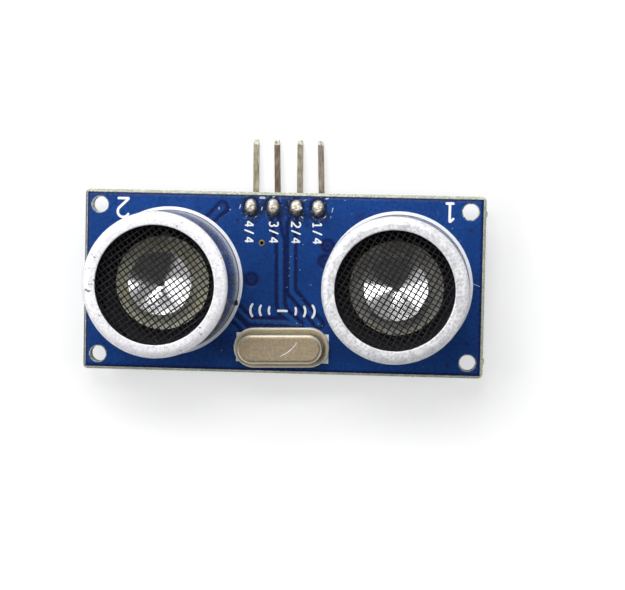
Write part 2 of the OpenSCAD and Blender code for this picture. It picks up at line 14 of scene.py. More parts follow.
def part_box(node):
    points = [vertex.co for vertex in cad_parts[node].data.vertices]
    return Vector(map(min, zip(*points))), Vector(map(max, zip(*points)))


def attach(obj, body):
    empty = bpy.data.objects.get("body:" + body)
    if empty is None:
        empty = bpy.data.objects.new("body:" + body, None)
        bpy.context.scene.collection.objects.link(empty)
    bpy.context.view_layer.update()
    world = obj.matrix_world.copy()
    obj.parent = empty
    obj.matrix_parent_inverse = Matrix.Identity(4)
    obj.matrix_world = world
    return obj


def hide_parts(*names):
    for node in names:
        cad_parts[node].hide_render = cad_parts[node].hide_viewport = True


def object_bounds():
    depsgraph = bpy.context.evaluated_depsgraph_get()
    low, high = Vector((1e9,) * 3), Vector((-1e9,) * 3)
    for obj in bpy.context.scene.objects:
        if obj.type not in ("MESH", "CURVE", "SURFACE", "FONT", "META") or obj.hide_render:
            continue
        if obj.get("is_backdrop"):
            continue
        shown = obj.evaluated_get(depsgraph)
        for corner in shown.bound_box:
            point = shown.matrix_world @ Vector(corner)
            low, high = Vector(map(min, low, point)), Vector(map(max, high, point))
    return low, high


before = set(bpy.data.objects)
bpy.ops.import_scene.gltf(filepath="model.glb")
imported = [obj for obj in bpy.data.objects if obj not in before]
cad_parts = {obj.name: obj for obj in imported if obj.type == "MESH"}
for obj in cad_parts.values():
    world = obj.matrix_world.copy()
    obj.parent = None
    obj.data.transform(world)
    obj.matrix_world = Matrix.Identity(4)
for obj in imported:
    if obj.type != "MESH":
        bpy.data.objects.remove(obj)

MM = 0.001
scene = bpy.context.scene
cad_low, cad_high = (np.array(corner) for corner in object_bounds())
print("CAD box in mm:", (cad_high - cad_low).round(5) / MM)

# %% Sizes taken from the frame
board_low, board_high = (np.array(corner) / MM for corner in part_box("circuit_board"))
TOP = board_high[2]
BOARD_L, BOARD_W = 45.0, 20.0
CAN_X = sum(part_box("transmitter_can")[k][0] for k in (0, 1)) / 2 / MM
PIN_X = np.array([-3.81, -1.27, 1.27, 3.81])
PIN_Y = 8.52
MOUNT_R = 0.9
MOUNT = [(sx * 21.0, sy * 8.5) for sx in (-1, 1) for sy in (-1, 1)]
print("board top", TOP, "can at", CAN_X)

# %% [markdown]
# ## Camera
# The photograph looks straight down from about 24 cm with a long lens, from a little to the right of the board's
# middle. Its place and turn come from fitting a pinhole camera to the corners, holes, pins and cans, whose real
# sizes are known. The focal length in pixels becomes a lens by the sensor's width over the picture's 625 pixels.

# %% Camera
FOCAL_PX, PICTURE_W, SENSOR = 2122.05, 625, 36
CAMERA_MM, CAMERA_TURN = (19.429, 10.549, 240.699), (2.8224, -3.8378, -1.4018)
camera_place = Vector(CAMERA_MM) * MM
world_to_camera = Euler(np.radians(CAMERA_TURN), "XYZ").to_matrix()
camera = bpy.data.objects.new("camera", bpy.data.cameras.new("camera"))
camera.data.sensor_width = SENSOR
camera.data.lens = FOCAL_PX * SENSOR / PICTURE_W
camera.data.clip_start = 0.01
camera.matrix_world = Matrix.Translation(camera_place) @ world_to_camera.transposed().to_4x4()
scene.collection.objects.link(camera)
scene.camera = camera
print("lens", round(camera.data.lens, 2), "mm at", camera_place.length / MM, "mm")

# %% [markdown]
# ## Nodes and colours
# A material is a small graph of nodes. One function adds any node, links a socket wherever one is given in place of
# a number, and gives back the node's outputs. Colours are written as the familiar sRGB hex values and turned to the
# linear numbers that light is computed with.

# %% One function for nodes, one for colours
def node(tree, kind, inputs=None, **settings):
    added = tree.nodes.new("ShaderNode" + kind)
    for key, value in settings.items():
        setattr(added, key, value)
    for key, value in (inputs or {}).items():
        if isinstance(value, bpy.types.NodeSocket):
            tree.links.new(value, added.inputs[key])
        else:
            added.inputs[key].default_value = value
    return added.outputs


def linear(code):
    """Each channel c of an sRGB hex colour becomes ((c + 0.055) / 1.055) ** 2.4, or c / 12.92 where it is dark."""
    c = np.array([int(code[k:k + 2], 16) for k in (1, 3, 5)]) / 255
    return (*np.where(c > 0.04045, ((c + 0.055) / 1.055) ** 2.4, c / 12.92), 1.0)


# %% [markdown]
# ## A worn surface
# Most parts here share one recipe: two close colours that drift into each other, a roughness that varies with
# handling, and a fine grain that the light catches. Each material below starts from this recipe, with its own
# numbers, and adds what only it has.

# %% The shared recipe
def ramp(value, low, high, to_low=0.0, to_high=1.0):
    return node(value.id_data, "MapRange", {"Value": value, 1: low, 2: high, 3: to_low, 4: to_high})[0]


def blend(share, first, second):
    first, second = (linear(end) if isinstance(end, str) else end for end in (first, second))
    return node(share.id_data, "Mix", {0: share, 6: first, 7: second}, data_type="RGBA")[2]


def times(first, second):
    return node(first.id_data, "Math", {0: first, 1: second}, operation="MULTIPLY")[0]


def maximum(first, second):
    return node(first.id_data, "Math", {0: first, 1: second}, operation="MAXIMUM")[0]


def vector(operation, first, second=(0, 0, 0)):
    return node(first.id_data, "VectorMath", {0: first, 1: second}, operation=operation)["Vector"]


def length(place):
    return node(place.id_data, "VectorMath", {0: place}, operation="LENGTH")["Value"]


def normal(tree, axis):
    """One part of the direction that the surface looks in: "X", "Y" or "Z"."""
    return node(tree, "SeparateXYZ", {0: node(tree, "NewGeometry")["Normal"]})[axis]


def attribute(tree, name):
    return node(tree, "Attribute", attribute_name=name)["Fac"]


def drive(shader, socket, value):
    shader.id_data.links.new(value, shader.inputs[socket])


def noise(place, size, detail=2.0, rough=0.5):
    """Noise whose features are size millimetres wide on Object coordinates, so its scale is 1 / (size * MM)."""
    wanted = {"Vector": place, "Scale": 1 / (size * MM), "Detail": detail, "Roughness": rough}
    return node(place.id_data, "TexNoise", wanted)["Fac"]


def worn(name, dark, light, metallic, rough, sizes, stretch=(1, 1, 1), turn=0.0, spot="#000000", spots=0.0):
    """Colour = mix of dark and light by noise of the drift size; roughness = low to high by finer noise;
    height = noise of the grain size times depth; sizes = (drift, grain, depth) in millimetres. stretch and turn
    make the grain run one way. spots is the share of the spot colour where the grain is high."""
    drift, grain, depth = sizes
    material = bpy.data.materials.new(name)
    material.use_nodes = True
    tree = material.node_tree
    shader = tree.nodes["Principled BSDF"]
    place = node(tree, "TexCoord")["Object"]
    along = node(tree, "Mapping", {"Vector": place, "Rotation": (0, 0, turn), "Scale": stretch})[0]
    drifting = ramp(noise(place, drift, 4), 0.35, 0.65)
    fine = noise(along, grain, 3)
    colour = blend(drifting, dark, light)
    if spots:
        colour = blend(ramp(fine, 0.42, 0.62, 0, spots), colour, spot)
    drive(shader, "Base Color", colour)
    shader.inputs["Metallic"].default_value = metallic
    drive(shader, "Roughness", ramp(fine, 0.3, 0.7, *rough))
    height = node(tree, "Bump", {"Height": fine, "Strength": 1.0, "Distance": depth * MM})
    drive(shader, "Normal", height[0])
    return {"material": material, "graph": (tree, shader, place), "colour": colour, "fine": fine}


def dress(made, *names):
    for name in names:
        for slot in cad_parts[name].material_slots:
            slot.material = made["material"]
    print(made["material"].name, "on", len(names), "nodes")


def dress_all(*rows):
    """Rows of what worn() takes, each with the nodes that wear it."""
    for *recipe, names in rows:
        dress(worn(*recipe), *names)


# %% [markdown]
# ## Light and floor
# The photograph was taken on white paper in a soft light box. Its shadows fall faintly to the right and downwards,
# so the main window of light is beyond the board's top edge. A second light hangs near the camera, a wider one stands
# at the left and a weak one at the right. The world stands for the white walls. Flat metal that faces the camera
# mirrors the ceiling, where the camera hangs, so glossy rays see a dark oval there, with bright boxes of light
# round it. The paper is a plain diffuse surface. For the camera alone it is a darker one that also glows, more so
# away from the board, so it reads as white paper with pale shadows.

# %% Lamps, world and paper
LAMPS = [("top_window", (-66, 206, 142), (320, 110), 0.355), ("ceiling", (-15, 117, 232), (150, 60), 0.213),
         ("left_box", (-175, 30, 187), (200, 110), 0.18), ("right_box", (172, 8, 190), (90, 80), 0.095)]
for name, place, size, watts in LAMPS:
    lamp = bpy.data.objects.new(name, bpy.data.lights.new(name, "AREA"))
    lamp.data.shape = "ELLIPSE"
    lamp.data.size, lamp.data.size_y = size[0] * MM, size[1] * MM
    lamp.data.energy = watts
    lamp.location = Vector(place) * MM
    lamp.rotation_euler = (-Vector(place)).to_track_quat("-Z", "Y").to_euler()
    scene.collection.objects.link(lamp)

WHITE = (1, 1, 1, 1)
world = bpy.data.worlds.new("white_walls")
world.use_nodes = True
scene.world = world
tree = world.node_tree
ray = node(tree, "LightPath")
seen = maximum(ray["Is Camera Ray"], ray["Is Transmission Ray"])
towards = node(tree, "TexCoord")["Generated"]
LEFT_BOX, RIGHT_BOX, TOP_BOX, OVAL_EDGE = (-0.4, -0.48), (0.54, 0.6), (0.66, 0.72), (1.08, 1.2)
DARK_OVAL, DIM_CEILING = 0.15, 0.55
round_camera = {"Vector": towards, "Location": (-0.18, 0.667, 0), "Scale": (1.786, 1.667, 0)}
oval = length(node(tree, "Mapping", round_camera)[0])
split = node(tree, "SeparateXYZ", {0: towards})
sides = maximum(ramp(split["X"], *LEFT_BOX), ramp(split["X"], *RIGHT_BOX))
boxes = maximum(sides, ramp(split["Y"], *TOP_BOX))
mirrored = times(ramp(oval, *OVAL_EDGE, DARK_OVAL, 1.0), ramp(boxes, 0, 1, DIM_CEILING, 1.0))
lit, shiny, white = (node(tree, "Background", {"Color": colour, "Strength": strength})[0]
                     for colour, strength in ((linear("#f4f6fa"), 0.25), (WHITE, mirrored), (WHITE, 1.0)))
both = node(tree, "MixShader", {0: ray["Is Glossy Ray"], 1: lit, 2: shiny})[0]
both = node(tree, "MixShader", {0: seen, 1: both, 2: white})[0]
drive(tree.nodes["World Output"], "Surface", both)

paper = bpy.data.materials.new("white_paper")
paper.use_nodes = True
tree = paper.node_tree
ray = node(tree, "LightPath")
matt = node(tree, "BsdfDiffuse", {"Color": linear("#f2f2f2")})[0]
soft = node(tree, "BsdfDiffuse", {"Color": linear("#b8b8b8")})[0]
away = vector("ABSOLUTE", node(tree, "TexCoord")["Object"])
away = vector("SUBTRACT", away, (BOARD_L / 2 * MM, BOARD_W / 2 * MM, 1))
away = length(vector("MAXIMUM", away))
NEAR, FAR, GLOW_NEAR, GLOW_FAR = 3, 11, 0.54, 0.68
bright = ramp(away, NEAR * MM, FAR * MM, GLOW_NEAR, GLOW_FAR)
glow = node(tree, "Emission", {"Color": WHITE, "Strength": bright})[0]
shown = node(tree, "AddShader", {0: soft, 1: glow})[0]
both = node(tree, "MixShader", {0: ray["Is Camera Ray"], 1: matt, 2: shown})[0]
drive(tree.nodes["Material Output"], "Surface", both)

PAPER_HALF, PAPER_BELOW = 700, 0.02
FLOOR = cad_low[2] / MM - PAPER_BELOW
corners = np.array([(x * PAPER_HALF, y * PAPER_HALF, FLOOR) for x, y in ((-1, -1), (1, -1), (1, 1), (-1, 1))])
floor_mesh = bpy.data.meshes.new("paper")
floor_mesh.from_pydata(corners * MM, [], [(0, 1, 2, 3)])
floor_mesh.materials.append(paper)
floor = bpy.data.objects.new("paper", floor_mesh)
scene.collection.objects.link(floor)
floor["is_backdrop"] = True
scene.view_settings.view_transform = "Standard"
print("paper at", FLOOR, "mm")

# %% [markdown]
# ## Surfaces from arrays
# Every added piece is a surface computed with numpy: a grid of points whose place is a formula of two numbers, or a
# small profile carried along a path. Two helpers make the faces of grids and tubes, and one makes the Blender object.

# %% Grids and pieces
def quads(rows, columns, wrap=False):
    """Faces between neighbouring points of a rows by columns grid. wrap joins the last column to the first."""
    i, j = np.meshgrid(np.arange(rows - 1), np.arange(columns if wrap else columns - 1), indexing="ij")
    k = (j + 1) % columns
    return np.stack([i * columns + j, i * columns + k, (i + 1) * columns + k, (i + 1) * columns + j], -1).reshape(-1, 4)


def tube(n, m, closed=False):
    """Faces of a tube of n rounds of m points each: joined into a loop, or with a cap on both ends."""
    if closed:
        return (quads(n + 1, m, wrap=True) % (n * m)).tolist()
    return quads(n, m, wrap=True).tolist() + [list(range(m))[::-1], list(range((n - 1) * m, n * m))]


def piece(name, points, faces, made, slot, smooth=True, replaces=(), **attributes):
    """Points in millimetres and faces, as an object at the origin that rides on the board."""
    mesh = bpy.data.meshes.new(name)
    points = np.asarray(points, float).reshape(-1, 3)
    mesh.from_pydata(points * MM, [], [list(map(int, face)) for face in faces])
    mesh.materials.append(made["material"])
    for key, values in attributes.items():
        values = np.asarray(values, np.float32).ravel()
        mesh.attributes.new(key, "FLOAT", "POINT").data.foreach_set("value", values)
    mesh.polygons.foreach_set("use_smooth", np.full(len(mesh.polygons), smooth))
    added = bpy.data.objects.new(name, mesh)
    scene.collection.objects.link(added)
    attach(added, "root")
    if replaces:
        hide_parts(*replaces)
    print(name, len(points), "points,", len(mesh.polygons), "faces")


def join(parts):
    """Several (points, faces) shapes as one pair, with each shape's face numbers moved past the shapes before it."""
    points, faces, start = [], [], 0
    for some_points, some_faces in parts:
        points.append(np.asarray(some_points, float).reshape(-1, 3))
        faces += [[v + start for v in face] for face in some_faces]
        start += len(points[-1])
    return np.concatenate(points), faces


def sweep(path, profile, closed=False, scale=None):
    """Point (i, j) = path[i] + side_i * profile[j].x + up_i * profile[j].y, where side is level and square to the
    path's direction and up is square to both. scale is one factor on the profile's x for each point of the path."""
    path = np.asarray(path, float)
    step = (np.roll(path, -1, 0) - np.roll(path, 1, 0)) if closed else np.gradient(path, axis=0)
    step /= np.linalg.norm(step, axis=1, keepdims=True)
    side = np.cross(step, (0, 0, 1))
    side /= np.linalg.norm(side, axis=1, keepdims=True)
    up = np.cross(side, step)
    profile = np.asarray(profile, float)
    scale = np.ones(len(path)) if scale is None else scale
    points = (path[:, None] + side[:, None] * profile[None, :, :1] * scale[:, None, None]
              + up[:, None] * profile[None, :, 1:])
    return points.reshape(-1, 3), tube(len(path), len(profile), closed)


# %% [markdown]
# ## Copper under solder mask
# The board's blue is a thin coat of solder mask. Over copper it looks lighter and stands a few hundredths of a
# millimetre proud, and over bare laminate it looks darker and lies lower, so tracks show as soft ridges between
# dark grooves. One sheet over each face carries this. Its height and its share of copper come from distances: to
# the track's middle line, to a pad's centre and to the board's edge, mixed by minimum and maximum.

# %% Distances in the board's plane
def from_path(x, y, path):
    """Shortest distance to a line of straight pieces: for each piece a to b, t = clamp((p - a).(b - a) / |b - a|^2)
    and the distance is |p - a - t (b - a)|."""
    best = np.full(x.shape, 1e9)
    for (ax, ay), (bx, by) in zip(path[:-1], path[1:]):
        dx, dy = bx - ax, by - ay
        t = np.clip(((x - ax) * dx + (y - ay) * dy) / (dx * dx + dy * dy), 0, 1)
        best = np.minimum(best, np.hypot(x - ax - t * dx, y - ay - t * dy))
    return best


def from_places(x, y, places):
    """Distance to the nearest of several points."""
    return np.min([np.hypot(x - px, y - py) for px, py in places], axis=0)


def from_edge(x, y):
    """Distance inwards from the board's outline."""
    return np.minimum(BOARD_L / 2 - abs(x), BOARD_W / 2 - abs(y))


def dimples(x, y, places, wide):
    """exp(-(d / wide)^2) around each place: 1 at its centre and next to nothing at twice its width."""
    return [np.exp(-((x - px) ** 2 + (y - py) ** 2) / wide ** 2) for px, py in places]


def dot(place, radius, gap):
    """A round pad, as a path with next to no length."""
    return [place, (place[0] + 0.01, place[1])], radius, gap


def eased(t):
    """Smooth step 3 t^2 - 2 t^3 from 0 to 1."""
    t = np.clip(t, 0, 1)
    return t * t * (3 - 2 * t)


PLANE_INSET, STEP_WIDTH = 0.32, 0.26


def copper_share(x, y, shapes):
    """1 over copper, 0 over laminate. The copper plane ends a third of a millimetre before the board's edge and
    keeps its gap from every track and pad. shapes are (path, half width, gap around it)."""
    plane, own = PLANE_INSET - from_edge(x, y), np.full(x.shape, 1e9)
    for path, half, gap in shapes:
        outside = from_path(x, y, path) - half
        plane, own = np.maximum(plane, gap - outside), np.minimum(own, outside)
    return eased(0.5 - np.minimum(plane, own) / STEP_WIDTH)


MASK_T, COPPER_T, DIMPLE, TURNED_DOWN = 0.016, 0.034, 0.03, 0.02


def coat(x, y, copper, vias, lowest):
    """Height of the mask over the laminate: mask + copper share * copper - a dimple at each via, never under the
    lowest, and turned down into the laminate at the board's outline."""
    height = MASK_T + COPPER_T * copper
    for dimple in dimples(x, y, vias, 0.16):
        height = height - DIMPLE * dimple
    return np.where(from_edge(x, y) < 0.01, -TURNED_DOWN, np.maximum(height, lowest))


def near_mounts(x, y):
    """1 on the bare burr around the mounting holes, 0 from a tenth of a millimetre outside them."""
    return 1 - eased((from_places(x, y, MOUNT) - MOUNT_R - 0.03) / 0.09)


# %% [markdown]
# A sheet's points lie on a grid that is finer where the board shows. A drilled hole is left open by dropping the
# squares that lie inside its circle and drawing the points just inside it out to the circle.

# %% A sheet of mask
def lines(stops):
    """Grid lines from (start, end, spacing) ranges that follow each other."""
    made = [np.linspace(a, b, int(round((b - a) / step)) + 1)[:-1] for a, b, step in stops]
    return np.concatenate(made + [[stops[-1][1]]])


def sheet(xs, ys, height, holes):
    """Grid points (x, y, height(x, y)) without the squares inside the holes, and the faces that are left."""
    x, y = np.meshgrid(xs, ys, indexing="ij")
    inside = np.zeros(x.shape, bool)
    for (hx, hy), radius in holes:
        d = np.hypot(x - hx, y - hy)
        near = (d < radius) & (d > 1e-6)
        inside |= d < radius
        grow = np.where(near, radius / np.maximum(d, 1e-6), 1)
        x, y = hx + (x - hx) * grow, hy + (y - hy) * grow
    faces = quads(*x.shape)
    used, number = np.unique(faces[~inside.ravel()[faces].all(1)], return_inverse=True)
    x, y = x.ravel()[used], y.ravel()[used]
    return x, y, height(x, y), number.reshape(-1, 4)


# %% [markdown]
# The tracks and pads of the front are placed where the photograph shows them: two signal tracks run down from the
# header between dark grooves, bend to the right under the printed pattern and end in covered vias beside the crystal.

# %% Front of the board
GROOVE, BACK_GAP = 0.45, 0.26
VIA_COPPER, VIA_HOLE, OPEN_R, OVAL = 0.52, 0.22, 0.2, 0.33
FILM_START, FILM_REACH, BACK_REACH = 0.5, 0.95, 1.6
front_tracks = [
    ([(-1.27, 8.5), (-0.62, 5.35), (-0.37, 4.9), (-0.21, -2.4), (0.1, -3.25), (1.75, -4.6)], 0.25, GROOVE),
    ([(1.35, 8.5), (0.85, 6.4), (0.99, -0.95), (2.85, -3.0), (4.2, -4.55)], 0.25, GROOVE),
    ([(-6.4, -3.2), (-5.1, -4.4), (-4.1, -5.4), (-2.5, -6.2)], 0.175, GROOVE),
    ([(-6.2, -1.9), (-4.5, -3.6), (-3.6, -4.4), (0.2, -4.4), (1.75, -4.6)], 0.175, GROOVE),
    ([(-7.04, 8.39), (-9.3, 6.2), (-10.5, 6.0)], 0.3, GROOVE)]
header_pads = [([(x, PIN_Y - OVAL), (x, PIN_Y + OVAL)], 0.62, 0.3) for x in PIN_X]
covered = [(-3.63, 0.36), (5.0, 4.32), (4.69, 2.57), (-7.04, 8.39)]
covered_pads = [dot(place, 0.0, 0.86) for place in covered]
small_vias = [(-5.19, 6.98), (2.57, 6.54), (8.54, 7.73), (21.05, 6.39), (20.9, -6.37), (18.76, -8.87), (1.75, -4.6),
              (4.23, -4.6)]
OPEN_VIA, FILLED_VIA = (-2.5, 4.5), (-5.2, -2.45)


def front_copper(x, y):
    """The plane, tracks and pads, and inside each covered via's groove a fainter ring of copper round its hole."""
    copper = copper_share(x, y, front_tracks + header_pads + covered_pads)
    inner = from_places(x, y, covered)
    return np.maximum(copper, 0.4 * eased((VIA_COPPER - inner) / 0.14) - 0.3 * eased((VIA_HOLE - inner) / 0.1))


def front_height(x, y):
    return TOP + coat(x, y, front_copper(x, y), covered + small_vias, 0.006)


xs = lines([(-22.5, -18, 0.11), (-18, -7.5, 0.15), (-7.5, 7.5, 0.075), (7.5, 18, 0.15), (18, 22.5, 0.11)])
ys = lines([(-10, 10, 0.1)])
holes = [(place, MOUNT_R) for place in MOUNT] + [(OPEN_VIA, OPEN_R)]
x, y, z, faces = sheet(xs, ys, front_height, holes)
joints = np.min([from_path(x, y, path) for path, _, _ in header_pads], axis=0)
flux = np.exp(-(np.maximum(joints - FILM_START, 0) / FILM_REACH) ** 2)
tented = np.max(dimples(x, y, small_vias[:6], 0.2), axis=0)
track = np.min([from_path(x, y, path) - half for path, half, _ in front_tracks[:4]], axis=0)
track = eased(0.45 - track / 0.2) * eased((joints - 1.2) / 1.5)

# %% [markdown]
# Solder mask is a glossy epoxy ink, screen printed and cured. It gives the eye a deep saturated blue with a slight
# orange peel. Around the joints hand soldering leaves a film of flux: a dark halo with cloudy and whitish specks.

# %% Solder mask
mask = worn("screen_printed_solder_mask", "#123a7b", "#154287", 0.0, (0.22, 0.34), (3.0, 0.45, 0.001))
tree, shader, place = mask["graph"]
over_laminate = blend(attribute(tree, "copper"), "#101f52", mask["colour"])
over_laminate = blend(ramp(attribute(tree, "track"), 0, 1, 0, 0.24), over_laminate, "#2c66a6")
hole_edge = blend(attribute(tree, "tented"), over_laminate, "#241f52")
film = times(attribute(tree, "flux"), ramp(noise(place, 0.7, 3), 0.35, 0.6))
halo = blend(ramp(film, 0.1, 0.7, 0, 0.9), hole_edge, "#1a2748")
crumbs = times(attribute(tree, "flux"), ramp(noise(place, 0.32, 3), 0.55, 0.68))
dusty = blend(ramp(crumbs, 0.1, 0.8, 0, 0.42), halo, "#7f9ac2")
dust = ramp(noise(place, 0.3, 1), 0.79, 0.82, 0, 0.5)
dusty = blend(dust, dusty, "#8fa6c8")
burr = times(attribute(tree, "bare"), ramp(noise(place, 0.25, 2), 0.3, 0.5))
drive(shader, "Base Color", blend(burr, dusty, "#cfd2b8"))
shader.inputs["Specular IOR Level"].default_value = 0.25
piece("front_solder_mask", np.stack([x, y, z], -1), faces, mask, "solder_mask",
      copper=front_copper(x, y), flux=flux, bare=near_mounts(x, y), tented=tented, track=track)

# %% [markdown]
# ## Snapped laminate
# The board is woven glass in epoxy. Its faces are under the mask, and its edges are bare where the score line was
# snapped: pale, greenish beige and fibrous, with small white chips. The left edge took some of the mask's ink.

# %% Laminate edges
laminate = worn("snapped_glass_laminate", "#bcc2a6", "#e0e4cf", 0.0, (0.5, 0.8), (0.8, 0.12, 0.02),
                stretch=(0.35, 0.35, 2.5))
tree, shader, place = laminate["graph"]
chipped = ramp(noise(place, 0.35, 3), 0.66, 0.72, 0, 0.7)
fibres = blend(ramp(noise(place, 0.18, 3), 0.4, 0.62), laminate["colour"], "#949b84")
inked = blend(ramp(normal(tree, "X"), -0.3, -0.6, 0, 0.85), fibres, "#36546b")
drive(shader, "Base Color", blend(chipped, inked, "#eceade"))
dress(laminate, "circuit_board")

# %% [markdown]
# ## White ink
# The legend is white epoxy ink printed through a screen, two hundredths of a millimetre thick, with soft edges. The
# words of the real board aren't repeated. Plain numbers and a plain wave pattern take their places, drawn as
# strokes: each is a flat bar carried along a line, narrowed to a round end. A white slab lies under the crystal.

# %% Strokes of ink
ink = worn("screen_printed_white_ink", "#f4f6f8", "#ffffff", 0.0, (0.45, 0.7), (0.8, 0.1, 0.003))
INK_T, INK_Z, LOWER = 0.022, 0.05, 0.002


def run(path):
    """Length from the start of a line to each of its points: the running sum of its steps."""
    return np.concatenate([[0], np.cumsum(np.linalg.norm(np.diff(path, axis=0), axis=1))])


def dense(path, step=0.06):
    """The same line with points at most one step apart, by linear interpolation along its length."""
    path = np.asarray(path, float)
    s = run(path)
    t = np.linspace(0, s[-1], max(int(s[-1] / step), 3))
    return np.stack([np.interp(t, s, path[:, k]) for k in range(path.shape[1])], -1)


def rounded(path, times_over=3):
    """Each inner point moves to the mean of itself and its neighbours, a few times, which rounds sharp corners."""
    for _ in range(times_over):
        path = np.concatenate([path[:1], (path[:-2] + path[1:-1] + path[2:]) / 3, path[-1:]])
    return path


def stroke(path, width, z=TOP + INK_Z, closed=False, thick=INK_T):
    """A bar of the given width on the board: half widths near an open end follow sqrt(r^2 - (r - s)^2), a round."""
    flat = path if closed else rounded(dense(path))
    r, s = width / 2, run(flat)
    edge = np.minimum(np.minimum(s, s[-1] - s), r)
    scale = np.maximum(np.sqrt(np.maximum(r * r - (r - edge) ** 2, 0)) / r, 0.35)
    line = np.column_stack([flat, z + 0.004 * s / s[-1]])
    bar = [(r, -thick), (r * 0.93, thick), (-r * 0.93, thick), (-r, -thick)]
    return sweep(line, bar, closed, None if closed else scale)


def arc(cx, cy, r, start, end, n):
    """Points (cx + r cos a, cy + r sin a) for n angles from start to end in degrees."""
    a = np.radians(np.linspace(start, end, n))
    return np.stack([cx + r * np.cos(a), cy + r * np.sin(a)], -1)


def hoop(cx, cy, r, n, width, z=TOP + INK_Z):
    """A closed circle of ink."""
    return stroke(arc(cx, cy, r, 0, 360, n)[:-1], width, z, closed=True)


def spun(flat, turn):
    """Points (x, y) turned about the origin by degrees."""
    c, s = np.cos(np.radians(turn)), np.sin(np.radians(turn))
    return flat @ np.array([[c, s], [-s, c]])


GLYPHS = {
    "1": [[(0.1, 0.78), (0.34, 1.0), (0.34, 0.0)], [(0.1, 0.0), (0.58, 0.0)]],
    "2": [np.concatenate([arc(0.3, 0.7, 0.3, 165, -40, 18), [(0.0, 0.0), (0.62, 0.0)]])],
    "3": [np.concatenate([arc(0.28, 0.74, 0.26, 150, -80, 16), arc(0.28, 0.26, 0.28, 85, -150, 18)])],
    "4": [[(0.47, 0.0), (0.47, 1.0), (0.0, 0.32), (0.64, 0.32)]],
    "/": [[(0.08, -0.05), (0.5, 1.05)]],
}


def write(text, place, size, turn, width, pitch=0.86, z=TOP + INK_Z):
    """Strokes of each glyph, scaled by size, set side by side by pitch, turned about the place by degrees."""
    made = []
    for k, sign in enumerate(text):
        for line in GLYPHS[sign]:
            flat = spun((np.asarray(line, float) + (k * pitch, 0)) * size, turn)
            made.append(stroke(flat + place, width, z))
    return made


# %% Legend of the front
def ring(cx, cy, inner, outer, n=48, z=0.0):
    """Profile (radius, height) turned about (cx, cy), standing at z."""
    profile = [(inner, -0.01), (inner, 0.06), (inner + 0.05, 0.07),
               (outer - 0.06, 0.068), (outer, 0.052), (outer, -0.01)]
    a = np.linspace(0, 2 * np.pi, n + 1)[:-1]
    points = [[(cx + r * np.cos(t), cy + r * np.sin(t), h + z) for r, h in profile] for t in a]
    return np.array(points).reshape(-1, 3), np.roll(tube(n, len(profile), closed=True), -1, 1).tolist()


RING_IN, RING_MIDDLE, RING_OUT = 8.05, 8.23, 8.43
marks = []
for cx in (-CAN_X, CAN_X):
    marks.append(hoop(cx, 0, RING_OUT - 0.11, 181, 0.22))
    band = arc(cx, 0, (RING_IN + RING_MIDDLE) / 2, -15, 341, 181)
    marks.append(stroke(band, RING_MIDDLE - RING_IN, TOP + INK_Z - LOWER))
marks += write("2", (-17.7, 9.25), 2.15, 180, 0.3)
marks += write("1", (19.35, 9.42), 2.1, 180, 0.3)
for label, x0, y0 in zip(("4/4", "3/4", "2/4", "1/4"), (-4.45, -1.66, 0.86, 3.28), (6.95, 6.98, 6.98, 6.98)):
    marks += write(label, (x0, y0), 1.0, -90, 0.19, 0.9)
WAVE_Y, WAVE_R, WAVE_LINE = -3.12, 1.1, 0.27
for sign in (-1, 1):
    for k, half in enumerate((0.5, 0.68, 0.85)):
        middle, facing = sign * (1.55 + 1.05 * k), 90 - 90 * sign
        spread = np.degrees(half / WAVE_R)
        bow = arc(middle - sign * WAVE_R, WAVE_Y, WAVE_R, facing - spread, facing + spread, 20)
        marks.append(stroke(bow, WAVE_LINE))
marks.append(stroke([(-0.62, WAVE_Y), (0.62, WAVE_Y)], WAVE_LINE))
SLAB_X, SLAB_Y, SLAB_T = (-5.17, 5.32), (-8.97, -5.67), 0.068
slab = [(SLAB_X[i], SLAB_Y[j]) for i, j in ((0, 0), (1, 0), (1, 1), (0, 1))]
box_points = [(x, y, z) for z in (TOP, TOP + SLAB_T) for x, y in slab]
box_faces = [(3, 2, 1, 0), (4, 5, 6, 7), (0, 1, 5, 4), (1, 2, 6, 5), (2, 3, 7, 6), (3, 0, 4, 7)]
marks.append((box_points, box_faces))
piece("front_legend", *join(marks), ink, "solder_mask", smooth=False)

# %% [markdown]
# One via is open and keeps its yellowish copper ring. Another, on the left can's outline, holds a small black disc.
# Soldering by hand also leaves whitish crumbs and streaks of dried flux around the joints, and handling leaves a few
# flecks and one long faint scratch. Each is a low stroke of its own.

# %% Open vias, dried flux and flecks
gilt = worn("tarnished_via_copper", "#6d6242", "#8e8255", 0.6, (0.4, 0.55), (0.3, 0.1, 0.003))
piece("via_ring", *ring(*OPEN_VIA, 0.19, 0.37, z=TOP), gilt, "solder")
residue = worn("dried_flux_residue", "#a9b8cf", "#dde5ee", 0.0, (0.4, 0.6), (0.3, 0.1, 0.004))
STREAKS = [(-2.85, 9.62, -2.2, 9.62, 0.26), (4.45, 7.42, 4.72, 7.72, 0.1), (-5.1, 8.3, -4.98, 8.85, 0.08),
           (-2.62, 8.2, -2.5, 8.6, 0.1), (4.6, 9.62, 5.0, 9.72, 0.12), (2.2, 9.38, 2.45, 9.52, 0.1),
           (-1.4, 9.74, -1.1, 9.78, 0.1), (1.9, 7.6, 2.15, 7.4, 0.12), (-3.3, 7.45, -3.1, 7.5, 0.1),
           (-4.4, 7.48, -4.2, 7.56, 0.1), (0.8, 6.98, 0.9, 7.05, 0.14), (-7.42, 8.2, -7.46, 8.5, 0.1),
           (-6.2, 8.12, -6.12, 8.3, 0.1), (5.35, 8.1, 5.5, 8.7, 0.08), (5.2, 7.5, 5.3, 7.7, 0.08)]
